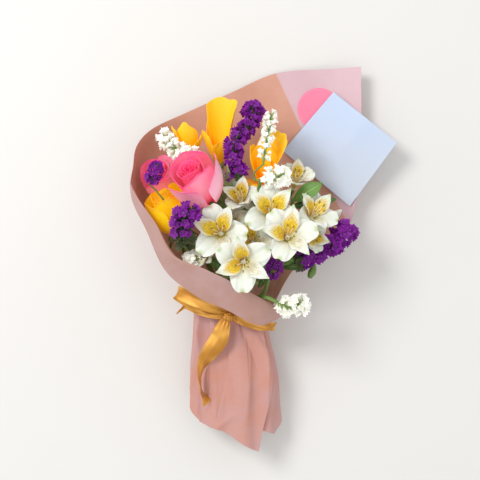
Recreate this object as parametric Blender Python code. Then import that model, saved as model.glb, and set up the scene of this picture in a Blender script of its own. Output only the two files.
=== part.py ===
"""A wrapped bouquet of roses, irises, alstroemeria and statice, lying on its back.

The flowers stand on their own stems, which a binding holds in one flat bunch. One sheet of paper is
gathered round the bunch at the neck, opens behind the flowers and is turned down as a cuff in front.
A satin ribbon ties the neck. A round label and a message card lie on the right wing of the paper.

The sizes below are in millimetres and each mesh is scaled to metres as it is made. +Z is up, and +Y
runs from the cut stems to the flowers. The origin is on the surface, under the middle of the bouquet.
"""

import functools
import math
import random

import bmesh
import bpy
from mathutils import Matrix, Vector
from mathutils.bvhtree import BVHTree

MM = 0.001
SEED = 7

# The point of the surface that becomes the origin, under the middle of the whole bouquet.
ORIGIN = Vector((1.31, 0.49, 0.0))

PAPER_THICKNESS = 0.8
GAP = 0.35

# The neck of the wrapper, where the ribbon ties it.
NECK_CENTRE = Vector((-41.6, -67.0, 35.0))
NECK_HALF_WIDTH = 42.0
NECK_HALF_DEPTH = 24.0
NECK_SLANT = 0.3

# The skirt of paper under the neck: half width, half depth, and the middle of the oval.
MID_SKIRT = (51.0, 29.0, Vector((-37.0, -142.0, 28.0)))
HEM_SKIRT = (53.0, 28.0, Vector((-35.0, 0.0, 26.0)))
PLEATS = 9
PLEAT_DEPTH = {"hem": 2.6, "mid": 2.4, "neck": 1.8}
SPIRAL = 0.13

# One rib of the sheet in each row, from its free edge at the right, round the back and the left side,
# to its end at the front. Each has its angle at the neck and in the skirt, in degrees from +X round
# the back, the hem's Y, and four points of the part above the neck: belly, shoulder, rim and edge.
RIBS = [
    (-20, -75, -200, (40, -11, 34), (104, 39, 30), (118, 145, 26), (119, 235, 26)),
    (12, -25, -214, (26, 3, 16), (76, 65, 12), (88, 158, 12), (82, 234, 14)),
    (45, 20, -188, (8, 9, 3), (33, 84, 0), (26, 166, 0), (16, 230, 4)),
    (75, 60, -192, (-17, 9, 0), (-17, 84, 0), (-26, 160, 0), (-40, 206, 6)),
    (105, 95, -197, (-45, 9, 0), (-65, 78, 0), (-85, 141, 2), (-96, 180, 14)),
    (135, 128, -197, (-74, 9, 2), (-108, 65, 4), (-129, 127, 18), (-137, 158, 36)),
    (160, 155, -190, (-101, 4, 18), (-138, 52, 30), (-152, 106, 48), (-152, 136, 64)),
    (183, 178, -184, (-113, 0, 45), (-146, 43, 62), (-156, 89, 76), (-156, 109, 88)),
    (205, 198, -190, (-111, -5, 70), (-140, 39, 88), (-150, 76, 102), (-157, 72, 98)),
    (228, 217, -198, (-101, -11, 82), (-121, 22, 98), (-122, 47, 112), (-138, 33, 98)),
    (250, 235, -203, (-82, -25, 86), (-100, -4, 104), (-104, 8, 116), (-116, -13, 96)),
    (272, 252, -208, (-59, -40, 86), (-69, -21, 106), (-68, -14, 118), (-81, -44, 100)),
    (295, 268, -217, (-37, -49, 84), (-39, -36, 104), (-35, -30, 116), (-44, -61, 100)),
    (318, 284, -228, (-16, -59, 78), (-10, -51, 94), (-5, -48, 106), (-10, -78, 92)),
    (345, 300, -234, (1, -66, 66), (13, -60, 80), (23, -62, 88), (12, -72, 84)),
]
# Places along a rib: 0 the hem, 1 mid skirt, 2 the neck, 3 above it, 4 belly, 5 shoulder, 6 rim, 7 edge.
SHEET_LEVELS = (0, 0.7, 1.4, 2, 2.4, 2.8, 3.4, 4.1, 4.9, 5.5, 6, 6.45, 7)
SHEET_COLUMNS = 40

# The bunch of stems at the tie: its middle, the pitch across and between rows, and the cut ends.
TIE = Vector((-41.6, -76.0, 28.0))
STEM_PITCH = 6.6
ROW_PITCH = 5.72
TIE_RADIUS = 3.1
CUT_Z = 24.0
CUT_SPREAD = 1.2
STEM_SIDES = 6

BLADE = 0.8


def clear_scene():
    for old in list(bpy.data.objects):
        bpy.data.objects.remove(old)


def material(name, colour, roughness, metallic=0.0):
    made = bpy.data.materials.new(name)
    made.use_nodes = True
    shader = made.node_tree.nodes["Principled BSDF"]
    shader.inputs["Base Color"].default_value = (*colour, 1.0)
    shader.inputs["Roughness"].default_value = roughness
    shader.inputs["Metallic"].default_value = metallic
    return made


def mesh_object(name, points, faces, finish, collection=None):
    mesh = bpy.data.meshes.new(name)
    mesh.from_pydata([tuple((Vector(p) - ORIGIN) * MM) for p in points], [], faces)
    mesh.materials.append(finish)
    made = bpy.data.objects.new(name, mesh)
    (collection or bpy.context.scene.collection).objects.link(made)
    return made


def grid_body(surface, rows, columns):
    """Points and triangles of an open sheet: surface(s, c) for s from 0 to 1 and c from -1 to 1."""
    points = [
        surface(i / rows, 2 * j / columns - 1)
        for i in range(rows + 1)
        for j in range(columns + 1)
    ]
    return points, grid_faces(rows, columns)


def grid_faces(rows, columns):
    faces = []
    for i in range(rows):
        for j in range(columns):
            a = i * (columns + 1) + j
            b, c, d = a + 1, a + columns + 2, a + columns + 1
            faces += [(a, b, c), (a, c, d)] if (i + j) % 2 else [(a, b, d), (b, c, d)]
    return faces


def thicken(sheet, thickness):
    """Gives an open sheet its thickness, half to each side."""
    wall = sheet.modifiers.new("Thickness", "SOLIDIFY")
    wall.thickness = thickness * MM
    wall.offset = 0.0
    return sheet


def tube_body(path, radii, sides, star=0.0):
    """A closed round tube along the path. star draws in every other side, for a lobed section."""
    count = len(path)
    radii = radii if hasattr(radii, "__len__") else [radii] * count
    points = []
    across = None
    for i, place in enumerate(path):
        ahead = (path[min(i + 1, count - 1)] - path[max(i - 1, 0)]).normalized()
        if across is None:
            across = ahead.orthogonal().normalized()
        across = (across - ahead * across.dot(ahead)).normalized()
        beside = ahead.cross(across)
        for k in range(sides):
            turn = 2 * math.pi * k / sides
            reach = radii[i] * (1 - star * (k % 2))
            points.append(place + (across * math.cos(turn) + beside * math.sin(turn)) * reach)
    faces = []
    for i in range(count - 1):
        for k in range(sides):
            a, b = i * sides + k, i * sides + (k + 1) % sides
            faces.append((a, b, b + sides, a + sides))
    faces.append(tuple(reversed(range(sides))))
    faces.append(tuple(range((count - 1) * sides, count * sides)))
    return points, faces


def fuse(name, finish, solids, blades=(), merge=True):
    """One closed solid from closed bodies and from open sheets given with their thickness."""
    tools = bpy.data.collections.new(name)
    bpy.context.scene.collection.children.link(tools)
    first = mesh_object(name, *solids[0], finish)
    for body in solids[1:]:
        mesh_object("tool", *body, finish, tools)
    for points, faces, thickness in blades:
        thicken(mesh_object("tool", points, faces, finish, tools), thickness)
    if tools.objects:
        join = first.modifiers.new("Join", "BOOLEAN")
        join.operation = "UNION"
        join.operand_type = "COLLECTION"
        join.collection = tools
        scene = bpy.context.evaluated_depsgraph_get()
        joined = bpy.data.meshes.new_from_object(first.evaluated_get(scene))
        first.modifiers.clear()
        if merge:
            merge_flat_faces(joined)
        first.data = joined
    for tool in list(tools.objects):
        bpy.data.objects.remove(tool)
    bpy.data.collections.remove(tools)
    return first


def merge_flat_faces(mesh):
    """Joins the slivers that a Boolean leaves in flat faces."""
    work = bmesh.new()
    work.from_mesh(mesh)
    flat = math.radians(1.0)
    bmesh.ops.dissolve_limit(work, angle_limit=flat, verts=work.verts[:], edges=work.edges[:])
    bmesh.ops.triangulate(work, faces=work.faces[:])
    work.to_mesh(mesh)
    work.free()


def bezier(points, t):
    a, b, c, d = (Vector(p) for p in points)
    return a * (1 - t) ** 3 + b * 3 * t * (1 - t) ** 2 + c * 3 * t * t * (1 - t) + d * t**3


def spline(points, t):
    """A smooth curve through the points, which t counts from 0 to the last one."""
    i = min(max(int(math.floor(t)), 0), len(points) - 2)
    f = t - i
    b, c = points[i], points[i + 1]
    a = points[i - 1] if i else b * 2 - c
    d = points[i + 2] if i + 2 < len(points) else c * 2 - b
    return (b * 2 + (c - a) * f + (a * 2 - b * 5 + c * 4 - d) * f * f + (b * 3 - a - c * 3 + d) * f**3) / 2


def oval(half_width, half_depth, centre, degrees, swell=0.0):
    turn = math.radians(degrees)
    grow = 1 + swell
    across, deep = half_width * grow * math.cos(turn), half_depth * grow * math.sin(turn)
    return centre + Vector((across, 0, -deep))


def pleat(degrees):
    return math.cos(math.radians(degrees * PLEATS))


@functools.cache
def rib_points(index):
    """The eight points of one rib of the sheet, from the hem to the edge."""
    at_neck, in_skirt, hem_y, *upper = RIBS[index]
    swell = SPIRAL * index / (len(RIBS) - 1)
    hem = oval(*HEM_SKIRT, in_skirt, swell)
    hem.y = hem_y
    mid = oval(*MID_SKIRT, 0.45 * at_neck + 0.55 * in_skirt, swell)
    neck = oval(NECK_HALF_WIDTH, NECK_HALF_DEPTH, NECK_CENTRE, at_neck, swell)
    neck.y -= NECK_SLANT * (neck.x - NECK_CENTRE.x)
    belly, shoulder, rim, edge = (Vector(p) for p in upper)
    above = neck.lerp(belly, 0.36)
    return [hem, mid, neck, above, belly, shoulder, rim, edge]


def pleated(place, level, along):
    """Draws a point of the skirt or the neck in and out, where the gathered paper is pleated."""
    depths = [PLEAT_DEPTH["hem"], PLEAT_DEPTH["mid"], PLEAT_DEPTH["neck"], 0.0]
    i = min(int(level), 2)
    depth = depths[i] + (depths[i + 1] - depths[i]) * min(level - i, 1.0)
    middle = NECK_CENTRE if level > 1.5 else MID_SKIRT[2]
    outward = Vector((place.x - middle.x, 0, place.z - middle.z)).normalized()
    return place + outward * depth * pleat(along)


def sheet_point(u, level):
    """A point in the middle of the paper: u from 0 to 1 across the ribs, level along them."""
    t = u * (len(RIBS) - 1)
    net = [rib_points(i) for i in range(len(RIBS))]
    crossing = [spline([rib[k] for rib in net], t) for k in range(len(net[0]))]
    place = spline(crossing, level)
    angles = [Vector((rib[0], rib[1], 0)) for rib in RIBS]
    turn = spline(angles, t)
    share = min(max(level / 2, 0), 1)
    place = pleated(place, level, turn.x * share + turn.y * (1 - share))
    place.z = max(place.z, PAPER_THICKNESS / 2)
    return place


def make_wrapper(finish):
    rows, columns = len(SHEET_LEVELS) - 1, SHEET_COLUMNS
    points = [
        sheet_point(j / columns, SHEET_LEVELS[i]) for i in range(rows + 1) for j in range(columns + 1)
    ]
    faces = [face[::-1] for face in grid_faces(rows, columns)]
    sheet = mesh_object("wrapper_paper", points, faces, finish)
    thicken(sheet, PAPER_THICKNESS)
    sheet.data.shade_smooth()
    return points, faces


# The roses: where the calyx meets the bloom, the way it faces, its turn, its scale and how far the
# outer petals open.
ROSES = {
    "rose_pink_front": ((-70, 70, 90), (-0.40, 0.58, 0.68), 20, 1.12, 0.9),
    "rose_pink_back": ((-118, 82, 38), (-0.28, 0.58, 0.74), 70, 0.85, 0.5),
    "rose_yellow": ((-105, 30, 60), (-0.32, 0.70, 0.62), 130, 1.02, 0.35),
}
# The petals of a rose from the middle out: turn, radius of the cup, height of the rim, half width,
# how far the rim opens, and how much of a full wrap round the axis it makes.
ROSE_PETALS = [
    (10, 5.0, 47, 9.0, 0.5, 1.0),
    (150, 7.0, 48, 11.0, 1.5, 1.0),
    (265, 9.0, 48.5, 12.5, 2.5, 0.95),
    (30, 12.0, 49, 15.0, 4.0, 0.9),
    (160, 14.0, 49, 16.5, 5.5, 0.85),
    (285, 16.0, 49, 17.5, 7.0, 0.8),
    (85, 19.0, 47, 19.0, 9.5, 0.7),
    (215, 20.5, 46, 20.0, 11.5, 0.65),
    (335, 21.5, 44, 20.5, 13.0, 0.6),
]

# The irises: base, the way it faces and its turn, then petals: turn, curve (radius, height) and
# half widths from the base to the tip.
IRISES = {
    "iris_1": ((-90, 121, 52), (-0.12, 0.92, 0.36), 0, [
        (-95, [(2, 0), (7, 14), (12, 30), (8, 48)], [4, 10, 13, 3]),
        (-165, [(2, 0), (9, 14), (15, 28), (17, 44)], [3, 6, 7, 3]),
        (-25, [(2, 0), (10, 8), (16, 16), (20, 30)], [3, 7, 9, 3]),
        (170, [(2, 0), (12, 2), (20, 6), (25, 12)], [3, 6, 8, 5]),
    ]),
    "iris_2": ((-56, 114, 50), (0.1, 0.94, 0.33), 0, [
        (75, [(2, 0), (7, 20), (9, 48), (10, 80)], [5, 11, 18, 16]),
        (-160, [(2, 0), (11, 10), (20, 24), (24, 42)], [4, 9, 13, 9]),
        (140, [(2, 0), (9, 14), (17, 32), (22, 50)], [4, 8, 10, 6]),
        (-70, [(2, 0), (10, 10), (19, 20), (20, 36)], [4, 9, 13, 9]),
        (0, [(2, 0), (12, 12), (18, 30), (16, 50)], [4, 8, 9, 5]),
    ]),
    "iris_3": ((-3, 87, 75), (0.04, 0.90, 0.44), 0, [
        (40, [(2, 0), (10, 16), (17, 40), (26, 62)], [4, 12, 17, 11]),
        (155, [(2, 0), (12, 14), (18, 32), (17, 48)], [4, 11, 14, 8]),
        (95, [(2, 0), (8, 14), (13, 32), (13, 50)], [4, 10, 13, 8]),
        (-62, [(2, 0), (13, 9), (22, 15), (27, 22)], [4, 9, 13, 10]),
        (-130, [(2, 0), (12, 6), (21, 9), (27, 5)], [4, 8, 10, 7]),
    ]),
}

# The alstroemeria: base of each bloom, the way it faces, its turn, its scale and how far it opens.
ALSTROEMERIA = {
    "alstroemeria_bloom_1": ((-50, 27, 96), (-0.15, 0.15, 0.97), 20, 1.0, 1.0),
    "alstroemeria_bloom_2": ((-14, 16, 80), (0.0, 0.2, 0.98), 75, 0.96, 0.95),
    "alstroemeria_bloom_3": ((5, 46, 96), (0.05, 0.34, 0.94), 5, 1.0, 1.0),
    "alstroemeria_bloom_4": ((23, 21, 114), (0.10, 0.28, 0.95), 40, 1.0, 1.0),
    "alstroemeria_bloom_5": ((-26, -2, 109), (0.0, -0.1, 0.99), 60, 1.0, 1.0),
    "alstroemeria_bloom_6": ((-27, 60, 82), (-0.12, 0.53, 0.83), 30, 0.86, 0.6),
    "alstroemeria_bloom_7": ((48, 42, 84), (0.42, 0.48, 0.76), 15, 0.92, 0.85),
    "alstroemeria_bloom_8": ((34, 82, 58), (0.2, 0.7, 0.68), 50, 0.8, 0.65),
}
# Its tepals: turn, curve (radius, height) when wide open, and half widths.
ALSTROEMERIA_TEPALS = [
    (90, [(1.8, 0), (5, 14), (11, 27), (31, 27)], [1.8, 3.2, 10, 13.5]),
    (210, [(1.8, 0), (5, 14), (11, 27), (31, 27)], [1.8, 3.2, 10, 13.5]),
    (330, [(1.8, 0), (5, 14), (11, 27), (31, 27)], [1.8, 3.2, 10, 13.5]),
    (30, [(1.5, 0), (4, 15), (8, 28), (25, 34)], [1.6, 2.6, 5.5, 5.5]),
    (150, [(1.5, 0), (4, 15), (8, 28), (25, 34)], [1.6, 2.6, 5.5, 5.5]),
    (270, [(1.5, 0), (4, 15), (9, 27), (26, 31)], [1.6, 2.6, 5.5, 5.5]),
]
# The alstroemeria stems: where the flower stalks part, what they carry, and the small leaves there,
# each by the place of its tip, its half width and its direction across.
BUDS = {
    "alstroemeria_bud_1": ((-50, 84, 76), (-0.2, 0.78, 0.6), 1.0),
    "alstroemeria_bud_2": ((74, 44, 66), (0.6, 0.5, 0.6), 0.85),
}
UMBELS = {
    "alstroemeria_stem_1": ((-37, -16, 65),
                            ["alstroemeria_bloom_1", "alstroemeria_bloom_2", "alstroemeria_bloom_5"],
                            [((-8, -30, 84), 4, (1, 0.3, 0))]),
    "alstroemeria_stem_2": ((20, 20, 73),
                            ["alstroemeria_bloom_3", "alstroemeria_bloom_4", "alstroemeria_bloom_7",
                             "alstroemeria_bud_2"],
                            [((54, 8, 50), 5, (0.2, 1, 0), 0)]),
    "alstroemeria_stem_3": ((-34, 47, 44),
                            ["alstroemeria_bloom_6", "alstroemeria_bloom_8", "alstroemeria_bud_1"],
                            [((-14, 72, 70), 4, (1, 0, 0.2))]),
}

# The statice: points along each spike of florets, radii of its core, how many florets there are along
# it and round it, and how long they are.
STATICE = {
    "statice_purple_1": ([(-29, 91, 98), (-37, 112, 101), (-36, 137, 95), (-18, 158, 84), (-14, 181, 76)],
                         [1.5, 3, 3.5, 3.5, 2], 12, 5, 10),
    "statice_purple_2": ([(-133, 88, 108), (-128, 98, 118), (-125, 106, 124)], [1.5, 2.5, 1.5], 4, 5, 7),
    "statice_purple_3": ([(-93, 14, 100), (-97, 30, 120), (-95, 44, 139), (-84, 56, 148)],
                         [1.5, 3, 4, 3], 8, 5, 10),
    "statice_purple_4": ([(30, -4, 76), (50, 2, 80), (68, 14, 84), (86, 22, 88), (98, 34, 90)],
                         [1.5, 2.5, 4, 4, 3], 9, 5, 11.5),
    "statice_purple_5": ([(4, -24, 90), (9, -12, 98), (13, -2, 102)], [1.5, 2.5, 1.5], 4, 4, 7),
}
WHITE_STATICE = {
    "statice_white_1": ([(-78, 118, 88), (-94, 124, 86), (-110, 132, 80), (-121, 147, 70)],
                        [1.5, 3, 3.5, 2], 7, 5, 9),
    "statice_white_2": ([(-3, 112, 114), (1, 136, 110), (4, 154, 98), (7, 170, 88)], [1.5, 3, 3, 2], 7, 4, 9),
    "statice_white_3": ([(-3, 90, 116), (10, 93.5, 120.5), (24, 94, 120)], [1.5, 3.5, 2], 4, 5, 10),
    "statice_white_4": ([(13, -50, 109), (28, -56, 109), (45, -50, 106)], [1.5, 3.5, 2], 5, 5, 9),
    "statice_white_5": ([(-75, 2, 90), (-83, 0, 92.5), (-91, -1, 94)], [1.5, 3, 2], 4, 5, 7.5),
}

# Each stem: its slot in the tie as steps across and up, where its cut end is, how far it runs straight
# at both ends, and how its bend is pushed after the tie and before the head, to pass clear of others.
STEMS = {
    "rose_pink_front": (-1.5, 0.5, -182, 0.34, (0, -1, 11), (-5, -1, 4)),
    "rose_pink_back": (-2, -0.5, -190, 0.31, (3, -2, 5), (2, -9, -4)),
    "rose_yellow": (-1.5, -1.5, -186, 0.30, (-1, 2, -9), (-17, -4, -2)),
    "iris_1": (-0.5, -1.5, -182, 0.29, (-4, 3, -1), (13, 7, -11)),
    "iris_2": (0.5, -1.5, -188, 0.36, (5, -4, 0), (4, -6, -10)),
    "iris_3": (0, -0.5, -192, 0.25, (0, 3, -2), (5, 4, 6)),
    "statice_purple_1": (0.5, 0.5, -180, 0.15, (0, 6, 1), (20, 29, -4)),
    "statice_purple_3": (-2, 1.5, -183, 0.15, (6, 7, 4), (12, 30, 5)),
    "statice_purple_4": (2, 1.5, -188, 0.27, (1, -1, -1), (-3, 6, -2)),
    "statice_purple_5": (2.5, 0.5, -189, 0.15, (0, -7, -8), (2, -12, 1)),
    "statice_white_1": (-0.5, 0.5, -186, 0.15, (-2, 8, -3), (7, -10, -23)),
    "statice_white_3": (1, -0.5, -186, 0.15, (10, 0, -8), (20, -7, -11)),
    "statice_white_4": (1, 1.5, -184, 0.15, (0, 0, 6), (-1, 7, 8)),
    "statice_white_5": (-1, 1.5, -187, 0.25, (1, -8, 8), (9, -6, 1)),
    "alstroemeria_stem_1": (0, 1.5, -181, 0.15, (-1, -2, 3), (-2, 8, -8)),
    "alstroemeria_stem_2": (1.5, 0.5, -181, 0.46, (3, 2, 3), (-3, -9, 13)),
    "alstroemeria_stem_3": (-1, -0.5, -190, 0.50, (-9, 2, 9), (3, -3, 4)),
    "foliage": (2, -0.5, -183, 0.36, (3, -3, -1), (7, -6, 2)),
}

# Side branches of the statice: the spike each carries, where it leaves the stem, and its bends.
SIDE_BRANCHES = {
    "statice_purple_3": ("statice_purple_2", 6.4, [(-108, 30, 104), (-116, 52, 116), (-128, 78, 114)]),
    "statice_white_3": ("statice_white_2", 7.0, [(-14, 92, 109), (-12, 101, 112)]),
}

# Leaves by the place along the stem, the tip, the half width, the direction across and the lift.
POD_STALK = [(44, 2, 54), (56, -3, 57), (58, -13, 58), (54, -23, 56)]
FOLIAGE_LEAVES = [
    (7.0, (66, 88, 102), 9, (0.3, -0.9, 0.2), 4),
    (6.7, (84, 70, 79), 8, (0.3, -0.9, 0.2), 4),
]

# The ribbon: how far its band lies outside the middle of the paper, the knot, then each piece by its
# points, the direction across it and its half widths.
BAND_RISE = PAPER_THICKNESS / 2 + 4.2 * GAP
KNOT = [(-50, -69, 73.4), (-47, -69, 73.4), (-43, -69, 73.4), (-39, -69, 73.4), (-36, -69, 73.4)]
RIBBON_PIECES = [
    ([(-43, -66, 75), (-58, -61, 82), (-76, -53, 87), (-93, -45, 86), (-103, -40, 82), (-101, -41, 78),
      (-88, -48, 77), (-72, -56, 76.5), (-57, -62, 74), (-43, -68, 70)],
     [(0.4, 0.9, 0.1)], [3, 5, 6.5, 7.5, 7.5, 7.5, 7.5, 6.5, 5, 3], 11),
    ([(-44, -70, 74), (-62, -69, 73), (-80, -64, 70), (-94, -58, 66), (-101, -62, 64), (-106, -67, 62)],
     [(0.3, 0.7, 0.7)], [3, 3.5, 4, 4, 2.5, 1.2], 7),
    ([(-41, -66, 75), (-26, -71, 79), (-10, -77, 78.5), (3, -80, 75), (11, -81, 71), (9, -82, 66.5),
      (-6, -82, 67), (-24, -77, 70), (-41, -70, 71)],
     [(0.35, 0.8, 0.5)], [3, 4.5, 5, 5, 5, 5, 5, 4.5, 3], 12),
    ([(-46, -70, 73), (-51, -84, 75), (-56, -98, 73.5), (-70, -119, 70), (-76, -134, 68), (-77, -147, 67.5),
      (-75, -161, 67), (-68, -174, 66)],
     [(1, 0, 0), (1, 0, 0.1), (1, -0.3, 0.1), (0.9, 0, -0.4), (0.4, 0, -0.9), (0.1, 0, -1), (0.1, 0, -1),
      (0.8, -0.3, -0.5)], [4.5, 9, 11, 10, 9, 9, 8.5, 8], 11),
]

# The card by its corners on its under side, and the label by its middle.
CARD_CORNERS = [(86, 205, 15.3), (161, 140, 40.8), (105, 63, 28.4), (24, 133, 0.9)]
CARD_THICKNESS = 0.8
LABEL_CENTRE = (68, 185)
LABEL_RADIUS = 26.0
LABEL_THICKNESS = 0.7


def closed_ring(inner, outer, half_width, along):
    """A closed band between two loops of points, half_width to each side of them in the direction along."""
    count = len(inner)
    loops = [[p + along * side for p in loop] for loop, side in
             ((inner, -half_width), (outer, -half_width), (outer, half_width), (inner, half_width))]
    points = [p for loop in loops for p in loop]
    faces = []
    for k in range(4):
        for i in range(count):
            j, m = (i + 1) % count, (k + 1) % 4
            faces.append((k * count + i, m * count + i, m * count + j, k * count + j))
    return points, faces


def support_loop(points, centre, count, offset):
    """The taut loop of straight lengths round the points in the XZ plane, at a distance outside them."""
    step = 2 * math.pi / count
    outs = [Vector((math.cos(step * i), 0, math.sin(step * i))) for i in range(count)]
    far = [max((p - centre).dot(out) for p in points) + offset for out in outs]
    loop = []
    for i, out in enumerate(outs):
        along = Vector((-out.z, 0, out.x))
        reach = (far[(i + 1) % count] - far[i] * math.cos(step)) / math.sin(step)
        loop.append(centre + out * far[i] + along * reach)
    return loop


def head_frame(place, facing, roll=0.0):
    """Where a head sits: its own +Z is the way it faces, and its base is at the given place."""
    z = Vector(facing).normalized()
    x = Vector((1, 0, 0))
    x = (x - z * x.dot(z)).normalized()
    turned = Matrix((x, z.cross(x), z)).transposed().to_4x4()
    return Matrix.Translation(Vector(place)) @ turned @ Matrix.Rotation(math.radians(roll), 4, "Z")


def petal(frame, turn, profile, width, wrap=0.0, cup=0.0, rounding=0.2, rows=3, columns=4, wave=0.0):
    """One petal as an open sheet, from the axis of the head outwards.

    profile holds four points (radius, height) of the curve its middle follows, width its half widths
    from the base to the tip. wrap bends it round the axis, cup lifts its sides, rounding draws the
    corners of the tip in, and wave ruffles the edge.
    """
    spin = Matrix.Rotation(math.radians(turn), 4, "Z")
    curve = [Vector((r, 0, z)) for r, z in profile]

    def surface(s, c):
        t = s * (1 - rounding * c * c)
        middle = bezier(curve, t)
        ahead = bezier(curve, min(t + 0.02, 1.02)) - bezier(curve, t - 0.02)
        inward = Vector((-ahead.z, 0, ahead.x)).normalized()
        half = max(spline(width, t * (len(width) - 1)), 0.8)
        side = half * c
        if wrap:
            radius = max(middle.x, 2.0) / wrap
            bend = side / radius
            point = middle + Vector((radius * (math.cos(bend) - 1), radius * math.sin(bend), 0))
        else:
            point = middle + Vector((0, side, 0))
        point += inward * (cup * half * c * c + wave * s * s * math.cos(2.5 * math.pi * c + turn))
        return frame @ (spin @ point)

    return (*grid_body(surface, rows, columns), BLADE)


def stalk(frame, heights, radii, sides=7):
    """A closed round body along the axis of a head."""
    return tube_body([frame @ Vector((0, 0, z)) for z in heights], radii, sides)


def strip(path, across, widths, rise=0.0, rows=6, columns=2, thickness=BLADE):
    """A leaf or a length of ribbon along the path. across gives its direction sideways, rise folds it up."""
    across = [Vector(a).normalized() for a in across]

    def surface(s, c):
        middle = spline(path, s * (len(path) - 1))
        last = len(path) - 1
        ahead = spline(path, min(s + 0.02, 1) * last) - spline(path, max(s - 0.02, 0) * last)
        side = spline(across, s * (len(across) - 1)) if len(across) > 1 else across[0]
        side = (side - ahead.normalized() * side.dot(ahead.normalized())).normalized()
        normal = side.cross(ahead).normalized()
        half = max(spline(widths, s * (len(widths) - 1)), 0.6)
        return middle + side * half * c + normal * rise * half * (c * c)

    return (*grid_body(surface, rows, columns), thickness)


def stem_path(name, end, heading, steps=5):
    """From the cut end of a stem through its slot in the tie to the base of its head."""
    across, up, cut_y, reach, push, pull = STEMS[name]
    across, up = across * STEM_PITCH, up * ROW_PITCH
    at_tie = TIE + Vector((across, 0, up))
    cut = Vector((TIE.x + across * CUT_SPREAD, cut_y, CUT_Z + up * CUT_SPREAD))
    start = at_tie + Vector((0, 10, 0))
    end, heading = Vector(end), Vector(heading).normalized()
    last = end
    end = end - heading * 3
    far = (end - start).length
    leave = start + Vector((0, far * reach, 0)) + Vector(push)
    arrive = end - heading * far * reach + Vector(pull)
    bend = [start, leave, arrive, end]
    return [cut, at_tie - Vector((0, 12, 0))] + [bezier(bend, i / steps) for i in range(steps + 1)] + [last]


def stem_tube(path, top=2.2):
    count = len(path)
    radii = [TIE_RADIUS * 0.95, TIE_RADIUS, TIE_RADIUS] + [
        TIE_RADIUS + (top - TIE_RADIUS) * (i + 1) / (count - 3) for i in range(count - 3)
    ]
    return tube_body(path, radii, STEM_SIDES)


def floret_spike(path, radii, rings, sides, long, seed):
    """A closed spike of florets: on each face of a slim core stands a funnel with a sunk middle."""
    draw = random.Random(seed)
    loops, headings = [], []
    across = None
    last = len(path) - 1
    for i in range(rings + 1):
        t = i / rings * last
        middle = spline(path, t)
        ahead = (spline(path, min(t + 0.05, last)) - spline(path, max(t - 0.05, 0))).normalized()
        headings.append(ahead)
        across = ahead.orthogonal() if across is None else across
        across = (across - ahead * across.dot(ahead)).normalized()
        beside = ahead.cross(across)
        radius = spline(radii, i / rings * (len(radii) - 1))
        turns = [2 * math.pi * (k + 0.22 * i) / sides for k in range(sides)]
        loops.append([middle + (across * math.cos(a) + beside * math.sin(a)) * radius for a in turns])
    points = [p for loop in loops for p in loop]
    faces = [tuple(reversed(range(sides))), tuple(range(rings * sides, rings * sides + sides))]
    for i in range(rings):
        low, high = sum(loops[i], Vector()) / sides, sum(loops[i + 1], Vector()) / sides
        lean = (high - low).normalized() * 0.35
        bend = (headings[i + 1] - headings[i]) / (high - low).length
        for k in range(sides):
            n = (k + 1) % sides
            corners = [i * sides + k, i * sides + n, (i + 1) * sides + n, (i + 1) * sides + k]
            if i:
                reach = long * draw.uniform(0.8, 1.15)
                add_floret(points, faces, corners, (low + high) / 2, lean, bend, reach, draw)
            else:
                faces.append(tuple(corners))
    return points, faces


def add_floret(points, faces, corners, middle, lean, bend, long, draw):
    """Replaces one face of the core by a funnel that flares to a rim and is sunk in the middle.

    On the inside of a bend the funnels crowd, so there they are narrower along the spike.
    """
    face_middle = sum((points[c] for c in corners), Vector()) / 4
    out = ((face_middle - middle).normalized() + lean).normalized()
    room = 1 - bend.dot(face_middle + out * long - middle)
    start = len(points)
    for c in corners:
        offset = points[c] - face_middle
        lengthwise = lean * offset.dot(lean) / lean.length_squared
        spread = (offset - lengthwise) * 1.9 + lengthwise * max(0.72 * room, 0.12)
        points.append(face_middle + out * long * draw.uniform(0.92, 1.06) + spread)
    points.append(face_middle + out * long * 0.66)
    for k in range(4):
        n = (k + 1) % 4
        faces.append((corners[k], corners[n], start + n, start + k))
        faces.append((start + 4, start + k, start + n))


def make_rose(name, petal_finish, leaf_finish):
    base, facing, roll, size, open_wide = ROSES[name]
    frame = head_frame(base, facing, roll) @ Matrix.Scale(size, 4)
    petals = []
    for turn, cup, rim, half, opening, wrap in ROSE_PETALS:
        tip = cup + opening * open_wide
        profile = [(2.5, 1.5), (cup * 1.35, 6), (cup * 1.05, rim * 0.72), (tip, rim)]
        width = [4, half * 0.8, half, half * 0.8]
        petals.append(petal(frame, turn, profile, width, wrap=wrap, rounding=0.14, columns=3))
    core = stalk(frame, (0, 4, 10, 30), (4.6, 9.5, 9.0, 3.5), 7)
    fuse(f"{name}_petals", petal_finish, [core], petals)

    calyx = stalk(frame, (-15, -9, -3, -GAP / size), (2.6, 4.6, 6.2, 4.6))
    sepals = []
    for k in range(5):
        curve = [(3, -4), (9, -1), (15, -6), (19, -14)]
        sepals.append(petal(frame, 72 * k + 20, curve, [2.5, 3, 2, 0.8], rounding=0.0, rows=2, columns=2))
    path = stem_path(name, frame @ Vector((0, 0, -12)), facing)
    fuse(f"{name}_stem", leaf_finish, [stem_tube(path, 2.6), calyx], sepals)


def leaf(path, at, tip, half, across, lift=6.0):
    """A leaf that leaves the stem at a place along its path and ends at the tip."""
    root = spline(path, at)
    tip = Vector(tip)
    middle = (root + tip) / 2 + Vector((0, 0, lift))
    points = [root, root.lerp(middle, 0.5), middle, middle.lerp(tip, 0.55), tip]
    return strip(points, [across], [1.2, half * 0.75, half, half * 0.7, 0.7], rise=0.25, rows=5)


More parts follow.
